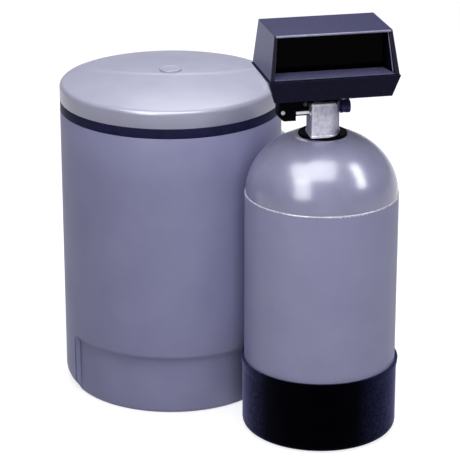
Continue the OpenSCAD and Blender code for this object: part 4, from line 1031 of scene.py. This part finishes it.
# Overflow elbow
# Moulded black elbow that goes through the drum's wall at the back. A gasket lies under its flange, and
# a nut inside holds it; a drain hose pushes on its end.
at_overflow = (Matrix.Translation((brine_x, brine_y, 470)) @ Matrix.Rotation(math.radians(50), 4, "Z")
               @ Matrix.Translation((drum_r, 0, 0)) @ Matrix.Rotation(math.radians(90), 4, "Y"))
elbow_bore = 6
elbow_r = 9
elbow_steps = 48
bend_r = 10
run_out = 34
elbow = bmesh.new()
turn(elbow, rounded([
    (elbow_bore, -17, 0), (10, -17, 0.5), (10, 2.4, 0), (17, 2.4, 0.5), (17, 6.4, 0.8),
    (elbow_r, 6.4, 0.5), (elbow_r, 20, 0), (elbow_bore, 20, 0),
]), at_overflow, 64)
thread(elbow, 11, 2.0, -16.5, -1, at_overflow)
path = [(0, 19.8), (0, 22), (0, 24)]
path += [(bend_r * (1 - math.cos(a)), run_out - bend_r + bend_r * math.sin(a))
         for a in [math.radians(d) for d in range(9, 91, 9)]]
path += [(across_mm, run_out) for across_mm in (12, 14, 16)]
spigot = [16.2, 16.6, 17] + [17 + 4 * k for k in range(1, 8)] + [46]
outer = [elbow_r] * len(path) + [8.8] + [8] * (len(spigot) - 2) + [7.4]
path += [(across_mm, run_out) for across_mm in spigot]
rings = []
for k, radius in list(enumerate(outer)) + [(k, elbow_bore) for k in reversed(range(len(path)))]:
    before = path[max(0, k - 1)]
    after = path[min(len(path) - 1, k + 1)]
    along = math.atan2(after[0] - before[0], after[1] - before[1])
    ring = []
    for a in [math.tau * i / elbow_steps for i in range(elbow_steps)]:
        reach = radius * math.cos(a)
        spot = Vector((path[k][0] + reach * math.cos(along), radius * math.sin(a),
                       path[k][1] - reach * math.sin(along)))
        ring.append(elbow.verts.new(at_overflow @ spot * mm))
    rings.append(ring)
skin(elbow, rings + rings[:1])
stands_for(finished("overflow_bend", elbow), block_plastic, "overflow_elbow")

# Pieces that keep their CAD shape
# These are inside the tanks, under the hood and at the fittings, and the CAD shape of each is right.
# Each gets the finish of what it is made of.

# Moulded acetal: a waxy off-white, the palest of the inner pieces.
acetal = new_finish("white acetal", {"Roughness": 0.38})
clouded(acetal, "#e2e0d8", "#eeece6", 12)
grained(acetal, 1.0, 0.02)
# Extruded PVC: a warm pale grey, a shade darker than the acetal, with an even satin.
pipe_pvc = new_finish("pale extruded PVC", {"Roughness": 0.36})
clouded(pipe_pvc, "#d6d4ce", "#e2e0da", 30)
grained(pipe_pvc, 1.2, 0.03)
# Turned brass: warm yellow with a clear highlight; its marks are drawn at 0.6 mm, coarser than real ones.
brass = new_finish("turned brass", {"Roughness": 0.26, "Metallic": 1.0})
clouded(brass, "#c8a050", "#dcb868", 8)
grained(brass, 0.6, 0.02)
# Ground steel: cool and bright, the sharpest highlights inside the head.
steel = new_finish("ground steel", {"Roughness": 0.24, "Metallic": 1.0})
clouded(steel, "#bcbcc6", "#d4d4dc", 6)
grained(steel, 0.5, 0.02)
# Pressed zinc-coated can: a duller grey metal with soft, cloudy highlights.
motor_can = new_finish("pressed zinc can", {"Roughness": 0.34, "Metallic": 1.0})
clouded(motor_can, "#a8a8b4", "#c4c4ce", 10)
grained(motor_can, 0.8, 0.03)
# Moulded rubber: black with no gloss, so the rings read as gaps between the pale spacers.
seal_rubber = new_finish("black seal rubber", {"Roughness": 0.6})
clouded(seal_rubber, "#0a0a0c", "#121214", 5)
grained(seal_rubber, 0.6, 0.03)
# Washed gravel: brown-grey stones of about 5 mm, matt, with deep shade between them.
gravel_stone = new_finish("washed gravel", {"Roughness": 0.8})
clouded(gravel_stone, "#6c6458", "#9a9284", 5)
grained(gravel_stone, 5, 2.0, 1.0)
# Resin beads: amber and glossy; the beads are drawn at 1.2 mm, twice the real size, so that they show.
resin_beads = new_finish("amber resin beads", {"Roughness": 0.3})
clouded(resin_beads, "#8a5a18", "#c08a34", 1.6)
grained(resin_beads, 1.2, 0.5, 1.0)
# Moulded polyethylene: a paler, cooler grey than the drum's, with the same satin.
grid_pe = new_finish("grey moulded polyethylene", {"Roughness": 0.44})
clouded(grid_pe, "#b6b6c4", "#c2c2ce", 40)
grained(grid_pe, 1.8, 0.06)
# Blue rubber: the one strong colour, so that the ball is found at once in the air check.
ball_rubber = new_finish("blue ball rubber", {"Roughness": 0.5})
clouded(ball_rubber, "#2a5a92", "#34689f", 4)
grained(ball_rubber, 0.6, 0.03)
kept = {
    acetal: ["drive_gear", "reduction_gear", "float", "safety_valve"],
    pipe_pvc: ["riser_tube", "bottom_strainer", "top_strainer", "stack_spacers", "pickup_tube",
               "air_check", "brine_fitting", "brine_outlet"],
    brass: ["piston", "motor_pinion", "injector_nozzle"],
    steel: ["piston_rod", "idler_pin", "float_rod", "tray_screws"],
    motor_can: ["drive_motor"],
    seal_rubber: ["stack_seals", "overflow_gasket"],
    gravel_stone: ["gravel_bed"],
    resin_beads: ["resin_bed"],
    grid_pe: ["salt_grid", "brine_well"],
    block_plastic: ["gear_bracket", "well_cap", "overflow_nut"],
    ball_rubber: ["check_ball"],
}
for finish, nodes in kept.items():
    for node in nodes:
        coat(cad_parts[node], finish)
